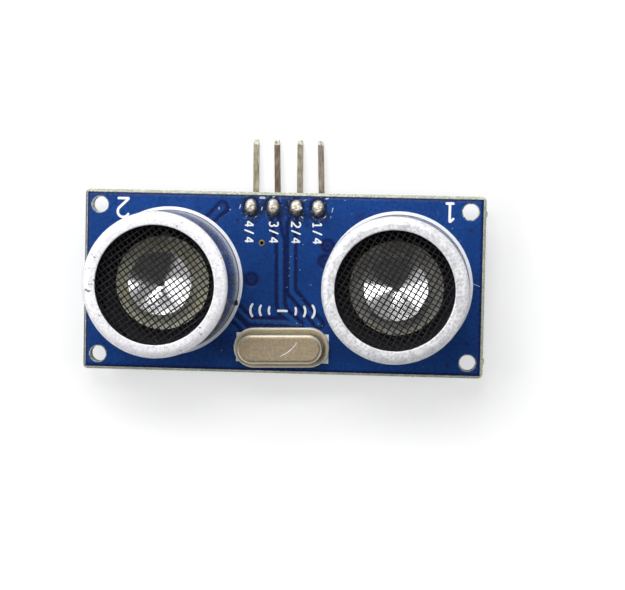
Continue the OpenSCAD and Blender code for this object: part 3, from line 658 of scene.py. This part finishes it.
FLECKS = [(0.76, 3.01), (0.65, 0.84), (0.43, -0.46), (3.15, -0.14), (2.14, 4.4), (6.78, 9.48), (1.83, 1.54),
          (0.66, 2.4), (0.64, 1.7), (1.6, -4.5), (2.1, -4.7), (4.05, -4.5), (4.5, -4.75), (18.9, 6.6),
          (-6.9, -7.8), (8.0, 5.6)]
SCRATCH = (21.35, 0.5, 22.2, 0.15, 0.05)
FLUX_T = 0.012
dried = STREAKS + [(x, y, x + 0.1, y + 0.06, 0.09) for x, y in FLECKS] + [SCRATCH]
crumbs = join([stroke([(ax, ay), (bx, by)], wide, thick=FLUX_T) for ax, ay, bx, by, wide in dried])
piece("dried_flux", *crumbs, residue, "solder_mask", smooth=False)
# a plain black disc in the via
black_dot = worn("black_via_dot", "#08080a", "#16120f", 0.0, (0.3, 0.5), (0.3, 0.1, 0.003))
piece("via_black_dot", *ring(*FILLED_VIA, 0.01, 0.15, 24, TOP + 0.025), black_dot, "solder_mask")

# %% [markdown]
# ## Cans
# Each can is drawn from aluminium sheet. Its front ring is blasted matt, with a few dark pits, and its turned-over
# edges carry a painted highlight: a share of white where the surface turns away from facing up. Its wall keeps the
# fine upright lines of drawing, in a bluish grey darker than bare aluminium, which is painted shade and a painted
# reflection of the blue board. The finish tells ring from wall by which way the surface looks. The two cans are one
# aluminium: the receiver's is the lighter copy with painted light, the transmitter's the greyer copy with painted
# shade.

# %% Blasted and drawn aluminium
def can_finish(name, dark, light, spot, rough, pit_share):
    made = worn(name, dark, light, 0.2, rough, (1.0, 0.3, 0.008), spot=spot, spots=0.55)
    tree, shader, place = made["graph"]
    pits = ramp(noise(place, 0.55, 3, 0.6), pit_share, pit_share + 0.03)
    blasted = blend(pits, made["colour"], "#6a6878")
    level = normal(tree, "Z")
    # painted highlight: white is mixed into the ring where its edges turn away from facing up
    blasted = blend(ramp(level, 0.8, 0.97, 0.75, 1.0), "#ffffff", blasted)
    front = ramp(level, 0.15, 0.45)
    drawn = node(tree, "Mapping", {"Vector": place, "Scale": (1, 1, 0.12)})[0]
    streaks = ramp(noise(drawn, 0.16, 4, 0.65), 0.3, 0.7)
    # painted shade and a painted reflection of the blue board: this bluish grey is darker than bare aluminium; the
    # streaks are real drawing lines
    wall = blend(streaks, "#838a98", "#a7adb9")
    specks = ramp(noise(place, 0.3, 2), 0.72, 0.76, 0, 0.4)
    wall = blend(specks, wall, "#ffffff")
    drive(shader, "Base Color", blend(front, wall, blasted))
    drive(shader, "Metallic", ramp(front, 0, 1, 1.0, 0.2))
    smooth_wall = ramp(streaks, 0, 1, 0.16, 0.28)
    satin = ramp(made["fine"], 0.3, 0.7, *rough)
    drive(shader, "Roughness", node(tree, "Mix", {0: front, 2: smooth_wall, 3: satin})[0])
    return made


# the same aluminium twice: the receiver's can is the lighter copy with painted light, the transmitter's the greyer copy
# with painted shade
dress(can_finish("blasted_aluminium_painted_lit", "#f2f0f5", "#ffffff", "#cfc9d2", (0.4, 0.55), 0.65), "receiver_can")
dress(can_finish("blasted_aluminium_painted_shade", "#dadade", "#fafaf8", "#a5a2ae", (0.38, 0.52), 0.7), "transmitter_can")

# %% [markdown]
# ## Woven wire screens
# A plain weave of fine dark wire closes each can: every wire passes over one crossing wire and under the next. Its
# middle line is a cosine wave whose half length is the spacing of the crossing wires, so a crossing pair touches.
# In the photograph the wires of one direction are thicker, so each direction has its own radius.
# One array holds all wires of a direction: wire, station along it and side of its tube.

# %% Weave
WIRE_R, PITCH = (0.08, 0.062), (0.61, 0.53)
LIFT = sum(WIRE_R) / 2
SIDES = 6


def weave(centre, turn, radius):
    """Wire k lies at u = (k + 1/2) pitch across, runs over v within the circle and stands at
    z = +-lift cos(pi v / other pitch); the tube point is the middle point plus r (cos q, sin q)."""
    parts = []
    for direction in (0, 1):
        pitch, other, thick = PITCH[direction], PITCH[1 - direction], WIRE_R[direction]
        count = int(radius / pitch)
        u = (np.arange(-count, count) + 0.5) * pitch
        half = np.sqrt(radius ** 2 - u ** 2)
        v = np.linspace(-1, 1, 4 * int(2 * radius / other) + 1)[None] * half[:, None]
        odd = np.where((np.arange(len(u)) + direction) % 2, 1.0, -1.0)[:, None]
        phase = np.pi * (v / other - 0.5)
        z = LIFT * odd * np.cos(phase)
        slope = -LIFT * odd * np.pi / other * np.sin(phase)
        q = np.linspace(0, 2 * np.pi, SIDES + 1)[:-1]
        tilt = np.arctan(slope)[..., None]
        across = np.broadcast_to(u[:, None, None] + thick * np.cos(q), (*v.shape, SIDES))
        along = v[..., None] - thick * np.sin(q) * np.sin(tilt)
        above = z[..., None] + thick * np.sin(q) * np.cos(tilt)
        wires = np.stack([across, along, above] if direction == 0 else [along, across, above], -1)
        faces = tube(v.shape[1], SIDES)
        faces = [face[::-1] for face in faces] if direction == 0 else faces
        parts += [(one, faces) for one in wires]
    points, faces = join(parts)
    points[:, :2] = spun(points[:, :2], turn)
    return points + centre, faces


wire = worn("blackened_steel_wire", "#1c1b1e", "#282729", 0.0, (0.6, 0.8), (0.6, 0.08, 0.002))
wire["graph"][1].inputs["Specular IOR Level"].default_value = 0.2
for side, turn in (("receiver", -53), ("transmitter", -29)):
    low, high = (np.array(corner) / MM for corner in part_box(side + "_screen"))
    centre, radius = (low + high) / 2, (high[0] - low[0]) / 2
    piece(side + "_woven_screen", *weave(centre, turn, radius), wire, "screen_wire", replaces=(side + "_screen",))

# %% [markdown]
# ## Inside the cans
# Behind each screen a spun aluminium cone stands on a round metal plate, and a black moulded base closes the can.
# The two plates are one metal. The receiver's is painted bright yellowish, as the lit copy that mirrors light, and
# the transmitter's is painted dark, as the shaded copy that mirrors shade, with a thin painted highlight along its
# edge.

# %% Cone, plate and base
def pair(what):
    return "receiver_" + what, "transmitter_" + what


olive = worn("rolled_nickel_silver", "#f4edca", "#fffbe2", 0.05, (0.5, 0.65), (1.5, 0.12, 0.003),
             stretch=(1, 0.08, 1), turn=0.6)
dress(olive, "receiver_vibrator_plate")
RIM_START, RIM_END = 5.05, 5.12
# painted shade: the transmitter's plate is a darker copy of the receiver's metal, standing for the dark it mirrors
dull = worn("nickel_silver_painted_shade", "#c2beb2", "#d6d2c8", 0.1, (0.5, 0.65), (1.2, 0.12, 0.003))
tree, shader, place = dull["graph"]
offset = vector("SUBTRACT", place, (CAN_X * MM, 0, 0))
from_axis = length(vector("MULTIPLY", offset, (1, 1, 0)))
patchy = ramp(noise(place, 1.6, 3), 0.42, 0.55)
# painted highlight: a thin pale yellow edge, in patches, round the transmitter's plate
painted_rim_highlight = times(ramp(from_axis, RIM_START * MM, RIM_END * MM), patchy)
drive(shader, "Base Color", blend(painted_rim_highlight, dull["colour"], "#c9bd84"))
dress(dull, "transmitter_vibrator_plate")
tinned = worn("hot_dipped_tin_wire", "#b9b7b0", "#d8d6d0", 1.0, (0.25, 0.4), (1.0, 0.15, 0.004))
dress(tinned, *pair("terminals"), "crystal_leads")
dress_all(
    ("spun_aluminium", "#e4e4e6", "#fafafa", 1.0, (0.12, 0.2), (1.5, 0.12, 0.0005), pair("cone")),
    ("moulded_black_phenolic", "#151517", "#232325", 0.0, (0.45, 0.65), (1.5, 0.2, 0.006), pair("base")),
    ("cured_white_silicone", "#c9c8c0", "#dddcd5", 0.0, (0.5, 0.7), (2.0, 0.2, 0.006), pair("damper_ring")),
    ("fired_piezo_ceramic", "#b5a98c", "#cfc4a6", 0.0, (0.5, 0.7), (2.0, 0.1, 0.003), pair("piezo_disc")),
    ("enamelled_copper_wire", "#8a4a2c", "#b0643c", 1.0, (0.25, 0.4), (2.0, 0.1, 0.002), pair("lead_wires")))

# %% [markdown]
# ## Crystal
# The crystal's can is drawn steel with warm nickel plating. Its top is brushed by handling. Its rounded shoulder and
# the bead along its flange carry a painted highlight, a pale and less metallic colour. The bead is where the
# distance from the can's long middle line, |max(|p| - (half, 0), 0)|, passes 1.9 mm. One curved scratch crosses the
# top: a low sharp burr carried along (1 - t)^2 a + 2 t (1 - t) b + t^2 c.

# %% Nickel shell
XTAL_TURN, HALF_STRAIGHT = 1.5, 3.15
BEAD_IN, BEAD_OUT = 1.86, 1.92
nickel = worn("nickel_plated_shell", "#a09179", "#b7a88f", 1.0, (0.24, 0.34), (0.3, 0.1, 0.0015))
tree, shader, place = nickel["graph"]
level = normal(tree, "Z")
brushed = ramp(nickel["fine"], 0.3, 0.7, 0.5, 0.66)
polished = ramp(nickel["fine"], 0.3, 0.7, 0.25, 0.33)
low, high = (np.array(corner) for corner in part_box("crystal_cover"))
own = {"Vector": place, "Location": (*((low + high) / 2)[:2], 0), "Rotation": (0, 0, np.radians(XTAL_TURN))}
across = node(tree, "Mapping", own, vector_type="TEXTURE")[0]
across = vector("ABSOLUTE", vector("MULTIPLY", across, (1, 1, 0)))
across = vector("MAXIMUM", vector("SUBTRACT", across, (HALF_STRAIGHT * MM, 0, 0)))
flange = ramp(length(across), BEAD_IN * MM, BEAD_OUT * MM)
flat = ramp(level, 0.8, 0.88)
shoulder = times(ramp(level, 0.25, 0.4), ramp(flat, 0, 1, 1, 0))
# painted highlight on the shoulder and the bead: a pale colour with less metal
crystal_highlight = maximum(flange, shoulder)
shell = blend(ramp(level, 0.05, 0.25), "#a1967d", nickel["colour"])
finish = node(tree, "Mix", {0: flat, 2: polished, 3: brushed})[0]
drive(shader, "Roughness", finish)
drive(shader, "Metallic", ramp(crystal_highlight, 0, 1, 1.0, 0.35))
drive(shader, "Base Color", blend(crystal_highlight, shell, "#e6dfc8"))
dress(nickel, "crystal_cover", "crystal_base_plate")
dress(worn("fused_seal_glass", "#23473f", "#356458", 0.0, (0.08, 0.15), (2.0, 0.3, 0.001)), "crystal_glass_seals")
cover_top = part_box("crystal_cover")[1][2] / MM
burr_metal = worn("scratched_nickel", "#f8f5ee", "#ffffff", 0.0, (0.35, 0.5), (2.0, 0.1, 0.002))
t = np.linspace(0, 1, 40)[:, None]
a, b, c = np.array([(0.06, -8.07), (1.36, -7.5), (1.97, -6.41)])
path = (1 - t) ** 2 * a + 2 * t * (1 - t) * b + t ** 2 * c
path = np.column_stack([path, np.full(len(path), cover_top - 0.005)])
burr = sweep(path, [(0.075, 0), (0, 0.022), (-0.075, 0)], scale=np.sin(np.pi * t[:, 0]) ** 0.4 + 0.1)
piece("crystal_scratch", *burr, burr_metal, "nickel_shell")

# %% [markdown]
# ## Header pins and joints
# The pins are square brass wire with stamped tips. The tips' facets that look up and towards +y carry a painted
# highlight. Their dull tin plating has tarnished on each pin to a colour of its own. The joints are hand soldered,
# so each is its own blob: an oval dome, bent by a few waves around its side. The third has a peak where the iron
# was drawn away to the right. Each joint's foot and its side towards -y carry painted shade, a dark grey-brown.

# %% Pins and housing
PLATING = [("1", "olive", "#8d8673", "#b8b099", "#5a5140"), ("2", "browned", "#6f6051", "#8c7c6b", "#43362c"),
           ("3", "grey", "#868071", "#aca591", "#4c4638"), ("4", "dull", "#80776a", "#a59b8b", "#4b4136")]
for number, look, dark, light, spot in PLATING:
    made = worn("tin_plated_pin_" + look, dark, light, 0.7, (0.45, 0.6), (1.2, 0.16, 0.006),
                stretch=(1, 0.12, 1), spot=spot, spots=0.6)
    tree, shader, place = made["graph"]
    # painted highlight on the tip facets that look up and towards +y
    tip_facets = times(ramp(normal(tree, "Y"), 0.12, 0.2), ramp(normal(tree, "Z"), 0.3, 0.4))
    painted_tip_highlight = times(tip_facets, ramp(noise(place, 0.35, 2), 0.46, 0.5))
    drive(shader, "Base Color", blend(painted_tip_highlight, made["colour"], "#c6c1b0"))
    drive(shader, "Metallic", ramp(tip_facets, 0, 1, 0.7, 0.15))
    dress(made, "header_pin_" + number)
dress(worn("moulded_black_nylon", "#101012", "#1e1e20", 0.0, (0.35, 0.55), (2.0, 0.2, 0.006)), "header_housing")

# %% Solder blobs
solder = worn("hand_laid_solder", "#ddd5c1", "#fffbef", 0.3, (0.3, 0.45), (0.35, 0.26, 0.05),
              spot="#6f6553", spots=0.72)
tree, shader, _ = solder["graph"]
# painted shade: dark grey-brown on each joint's foot and on its side towards -y
painted_foot_shade = times(ramp(attribute(tree, "flank"), 0.5, 0.88), ramp(solder["fine"], 0.25, 0.6, 0.6, 1.0))
drive(shader, "Base Color", blend(painted_foot_shade, solder["colour"], "#4f493e"))


def blob(x0, wide, long, height, seed, peak=0.0):
    """Radius share r from 1 at the foot to 0 at the crown: z = h (1 - r^4)^0.6, drawn inwards near the board,
    with waves of 2, 3 and 5 turns round the side and, for a peak, a ridge towards +x."""
    rng = np.random.default_rng(seed)
    rows, n = 26, 48
    r = np.linspace(1, 0.0, rows)[:, None]
    a = np.linspace(0, 2 * np.pi, n + 1)[None, :-1]
    wave = sum(rng.uniform(0.01, 0.035) * np.sin(turns * a + rng.uniform(0, 6.28)) for turns in (2, 3, 5))
    reach = r * (1 + wave * r)
    x = wide / 2 * reach * np.cos(a)
    y = long / 2 * reach * np.sin(a) + 0.14 * (1 - r ** 2)
    z = height * (1 - r ** 4) ** 0.6 * (1 + 0.6 * wave)
    z = z + peak * np.exp(-((x - 0.28) ** 2 + y ** 2) / 0.06)
    x = x + peak * 1.3 * np.exp(-((x - 0.3) ** 2 + y ** 2) / 0.07)
    lumps = 0.035 * np.sin(7 * x + rng.uniform(0, 6)) * np.sin(6 * y + rng.uniform(0, 6))
    lumps = lumps + 0.022 * np.sin(15 * x - 9 * y + rng.uniform(0, 6)) * np.sin(12 * y + 8 * x)
    z = z + lumps * eased((1 - r) / 0.35)
    points = np.stack([x + x0, y + PIN_Y, z + TOP - 0.01], -1).reshape(-1, 3)
    crown = len(points) - n
    faces = quads(rows, n, wrap=True)[:-n].tolist()
    faces += [[crown - n + k, crown - n + (k + 1) % n, crown] for k in range(n)]
    # share of painted shade: high at the foot and on the side towards -y
    shade_share = r - 0.3 * np.sin(a) * r
    return points[:crown + 1], faces + [list(range(n))[::-1]], shade_share.ravel()[:crown + 1]


blobs = [blob(PIN_X[0], 1.46, 1.95, 1.0, 3), blob(PIN_X[1], 1.5, 2.05, 0.97, 5),
         blob(PIN_X[2] + 0.05, 1.48, 1.9, 0.95, 8, 0.34), blob(PIN_X[3], 1.5, 1.92, 1.0, 12)]
piece("header_joints", *join([shape[:2] for shape in blobs]), solder, "solder", replaces=("header_solder",),
      flank=np.concatenate([shape[2] for shape in blobs]))
dress(solder, "terminal_solder", "crystal_solder")

# %% [markdown]
# ## Back of the board
# The back carries three moulded circuits, a small transistor and two sizes of chips. They lie on tinned pads, with
# tracks between them under the same blue mask, and white outlines and numbers beside them. All of it is laid out as
# seen from behind, on a board that faces up, and then turned half a turn about the y axis: (x, y, z) to (-x, y, -z).

# %% Layout of the back, as seen from behind
IC_Y, LEG_PITCH = -0.6, 1.27
ICS = [(6.6, 7), (0.0, 7), (-6.6, 8)]
CHIPS_FLAT = [(17.6, -3 + 1.5 * k, 0.45) for k in range(5)] + [(-17.9, 1.2 + 1.5 * k, 0.45) for k in range(3)]
CHIPS_FLAT += [(side * 14.2, -1.5 + 1.5 * k, 0.8) for side in (-1, 1) for k in range(3)]
CHIPS_UPRIGHT = [(9.2 - 1.5 * k, 5.62, 0.45) for k in range(6)] + [(-3.2 - 1.5 * k, 5.62, 0.8) for k in range(4)]
CHIPS = ((CHIPS_FLAT, (1, 0)), (CHIPS_UPRIGHT, (0, 1)))
TERMINALS = [(side * CAN_X, end) for side in (-1, 1) for end in (-5, 5)]
CRYSTAL_LEADS = [(-2.44, -7.186), (2.44, -7.314)]
HEADER = [(-x, PIN_Y) for x in PIN_X]


def legs_of(x, count):
    """(x, y, side) of every leg of a package whose legs stand on both long sides."""
    return [(x + side * 2.75, IC_Y + (k - (count - 1) / 2) * LEG_PITCH, side) for side in (-1, 1) for k in range(count)]


LEGS = [leg for ic in ICS for leg in legs_of(*ic)]
left_legs = [leg for leg in legs_of(*ICS[2]) if leg[2] < 0]
right_legs = [leg for leg in legs_of(*ICS[0]) if leg[2] > 0]
thin = [[(x, y), (x - 1.3, y), (-13.4, -1.5 + 1.5 * k)] for k, (x, y, _) in enumerate(left_legs[3:6])]
thin += [[(x, y), (x + 1.3, y), (13.4, -1.5 + 1.5 * k)] for k, (x, y, _) in enumerate(right_legs[2:5])]
thin += [[(-15, y), (-15.8, y), (-17.1, y + 2.7)] for y in (-1.5, 0.0, 1.5)]
thin += [[(15, y), (16.8, y)] for y in (-1.5, 0.0, 1.5)]
thin += [[(9.2 - 1.5 * k, 6.42), (9.2 - 1.5 * k, 7.2), (3.81 - 0.9 * k, 8.5)] for k in (0, 2, 4)]
thin += [[(-3.2 - 1.5 * k, 6.42), (-3.2 - 1.5 * k, 7.1), (-2.6 - 0.5 * k, 8.3)] for k in (0, 2)]
thin += [[(2.44, -7.3), (3.85, -5.6), (3.85, -4.4)], [(-2.44, -7.2), (-1.2, -6.2), (2.2, -5.4)]]
wide = [[(side * 13, -5), (side * 11.2, -5), (side * 9.8, -4.4)] for side in (-1, 1)]
wide += [[(side * 13, 5), (side * 11, 5), (side * 9.9, 3.5)] for side in (-1, 1)]
back_tracks = [(path, 0.15, BACK_GAP) for path in thin] + [(path, 0.45, BACK_GAP) for path in wide]
back_vias = [(-20.9, 6.4), (-20.9, -6.4), (-11.3, 8.6), (11.2, 8.3), (2.5, 4.5), (5.3, -2.35), (-10.9, -8.4),
             (8.6, -8.7), (19.9, 0.2), (-16.3, -7.6), (11.6, 2.4), (-11.4, 2.6)]
print(len(LEGS), "leg pads,", len(CHIPS_FLAT) + len(CHIPS_UPRIGHT), "chips,", len(back_tracks), "tracks")

# %% Turned over
def turned(points, faces):
    return points * (-1, 1, -1), faces


round_pads = [dot(place, 1.35, 0.3) for place in TERMINALS] + [dot(place, 0.85, 0.3) for place in CRYSTAL_LEADS]
round_pads += [dot(place, 0.22, 0.12) for place in back_vias]
flat_pads = [([(x - side * 0.3, y), (x + side * 0.3, y)], 0.32, 0.2) for x, y, side in LEGS]
for chips, (ax, ay) in CHIPS:
    flat_pads += [([(x + ax * (e - 0.01), y + ay * (e - 0.01)), (x + ax * e, y + ay * e)], 0.48, 0.2)
                  for x, y, _ in chips for e in (-0.95, 0.95)]


def back_copper(x, y):
    return copper_share(x, y, back_tracks + round_pads + flat_pads)


def back_height(x, y):
    return coat(x, y, back_copper(x, y), back_vias, -TURNED_DOWN)


xs = lines([(-22.5, 22.5, 0.125)])
x, y, z, faces = sheet(xs, ys, back_height, [((-px, py), MOUNT_R) for px, py in MOUNT])
tented = np.max(dimples(x, y, back_vias, 0.2), axis=0)
flux = np.exp(-(np.minimum(from_path(x, y, HEADER), from_path(x, y, CRYSTAL_LEADS)) / BACK_REACH) ** 2)
piece("back_solder_mask", *turned(np.stack([x, y, z], -1), faces), mask, "solder_mask",
      copper=back_copper(x, y), flux=0.6 * flux, bare=near_mounts(x, y), tented=tented)

# %% [markdown]
# Each pad holds a little solder that wets the part's metal end and runs out to the pad's edge. Its height falls with
# the distance d from the metal end as h (1 - d / reach)^2, the hollow curve of a wetted fillet.

# %% Solder on the pads
pad_solder = worn("reflowed_solder", "#a9a89f", "#dcdad0", 0.85, (0.2, 0.35), (0.6, 0.2, 0.01))


def pad(cx, cy, half_x, half_y, end, height, reach, n=12):
    """A rounded rectangle of grid points around (cx, cy); end is the metal end's (x0, x1, y0, y1)."""
    u, v = np.meshgrid(np.linspace(-1, 1, n), np.linspace(-1, 1, n), indexing="ij")
    x = cx + half_x * u * np.sqrt(1 - 0.06 * v ** 8)
    y = cy + half_y * v * np.sqrt(1 - 0.06 * u ** 8)
    d = np.hypot(x - np.clip(x, *end[:2]), y - np.clip(y, *end[2:]))
    z = 0.058 + height * np.clip(1 - d / reach, 0, 1) ** 2
    rim = np.maximum(abs(u), abs(v)) > 0.999
    z = np.where(rim, -0.01, z)
    last = n * n - n
    border = [*range(n), *range(2 * n - 1, n * n, n), *range(n * n - 2, last - 1, -1), *range(last - n, 0, -n)]
    return np.stack([x, y, z], -1).reshape(-1, 3), quads(n, n).tolist() + [border]


TRANSISTOR_LEGS = [(-17.15, -1.25), (-17.15, -3.15), (-19.25, -2.2)]
fillets = []
for x, y, side in LEGS:
    foot = sorted((x - side * 0.45, x + side * 0.25))
    fillets.append(pad(x, y, 0.52, 0.33, (*foot, y - 0.2, y + 0.2), 0.13, 0.26))
for chips, (ax, ay) in CHIPS:
    for x, y, h in chips:
        for e in (-1, 1):
            cx, cy = x + e * ax * 0.9, y + e * ay * 0.78
            ex, ey = x + e * ax * 0.65, y + e * ay * 0.65
            wide_x, wide_y = 0.15 * ax + 0.4 * ay, 0.4 * ax + 0.15 * ay
            end = (ex - wide_x, ex + wide_x, ey - wide_y, ey + wide_y)
            fillets.append(pad(cx, cy, 0.4 * ax + 0.5 * ay, 0.5 * ax + 0.28 * ay, end, 0.55 * h, 0.42))
for x, y in TRANSISTOR_LEGS:
    fillets.append(pad(x, y, 0.42, 0.38, (x - 0.2, x + 0.16, y - 0.2, y + 0.2), 0.13, 0.25))
piece("back_pad_solder", *turned(*join(fillets)), pad_solder, "solder")

# %% [markdown]
# The round pads are rings of tinned copper. Each is a profile turned about its lead: flat, with a softly raised edge.

# %% Rings and outlines
rings = [ring(x, y, 0.5, 1.33) for x, y in TERMINALS] + [ring(x, y, 0.3, 0.84) for x, y in CRYSTAL_LEADS]
piece("back_ring_pads", *turned(*join(rings)), tinned, "solder")

marks = []
for x, count in ICS:
    end = (count - 1) / 2 * LEG_PITCH + 0.95
    for side in (-1, 1) if count < 8 else (-1,):
        marks.append(stroke([(x - 1.9, IC_Y + side * end), (x + 1.9, IC_Y + side * end)], 0.16, INK_Z))
    marks.append(hoop(x - 2.5, IC_Y + end - 0.02, 0.12, 13, 0.14, INK_Z))
marks += [hoop(x, y, 1.75, 61, 0.15, INK_Z) for x, y in TERMINALS]
marks += [stroke([(x - 0.35, y + 0.75), (x + 0.35, y + 0.75)], 0.14, INK_Z) for x, y, _ in CHIPS_FLAT[::2]]
FRAME_X, FRAME_Y = (-5.2, 5.2), (7.05, 9.75)
outline = [(FRAME_X[i], FRAME_Y[j]) for i, j in ((0, 0), (1, 0), (1, 1), (0, 1), (0, 0))]
marks.append(stroke(outline, 0.15, INK_Z))
NUMBERS = [("1", (6.3, -7.6)), ("2", (-0.3, -7.9)), ("3", (-6.9, -8.3)), ("1", (15.9, 4.4)), ("2", (-16.2, -5.2)),
           ("4/4", (6.1, 8.0)), ("1/4", (-8.9, 8.0)), ("3", (19.3, 3.6)), ("4", (-20.4, 3.6))]
for text, place in NUMBERS:
    marks += write(text, place, 1.15, 0, 0.2, z=INK_Z)
piece("back_legend", *turned(*join(marks)), ink, "solder_mask", smooth=False)

# %% Parts of the back
legs = [chip + "_legs" for chip in ("controller", "amplifier", "driver", "transistor")]
packages = [name.replace("legs", "package") for name in legs]
dress_all(
    ("moulded_black_epoxy", "#141416", "#232325", 0.0, (0.5, 0.7), (1.5, 0.12, 0.006), packages),
    ("tin_plated_copper_leg", "#a8a7a2", "#cfcdc6", 1.0, (0.25, 0.42), (0.8, 0.12, 0.004),
     (*legs, "resistor_ends", "capacitor_ends")),
    ("glazed_resistor_coat", "#0f1012", "#1c1d20", 0.0, (0.2, 0.35), (2.0, 0.12, 0.003), ["resistor_bodies"]),
    ("fired_capacitor_ceramic", "#a08560", "#bda27a", 0.0, (0.45, 0.6), (2.0, 0.12, 0.003), ["capacitor_bodies"]))
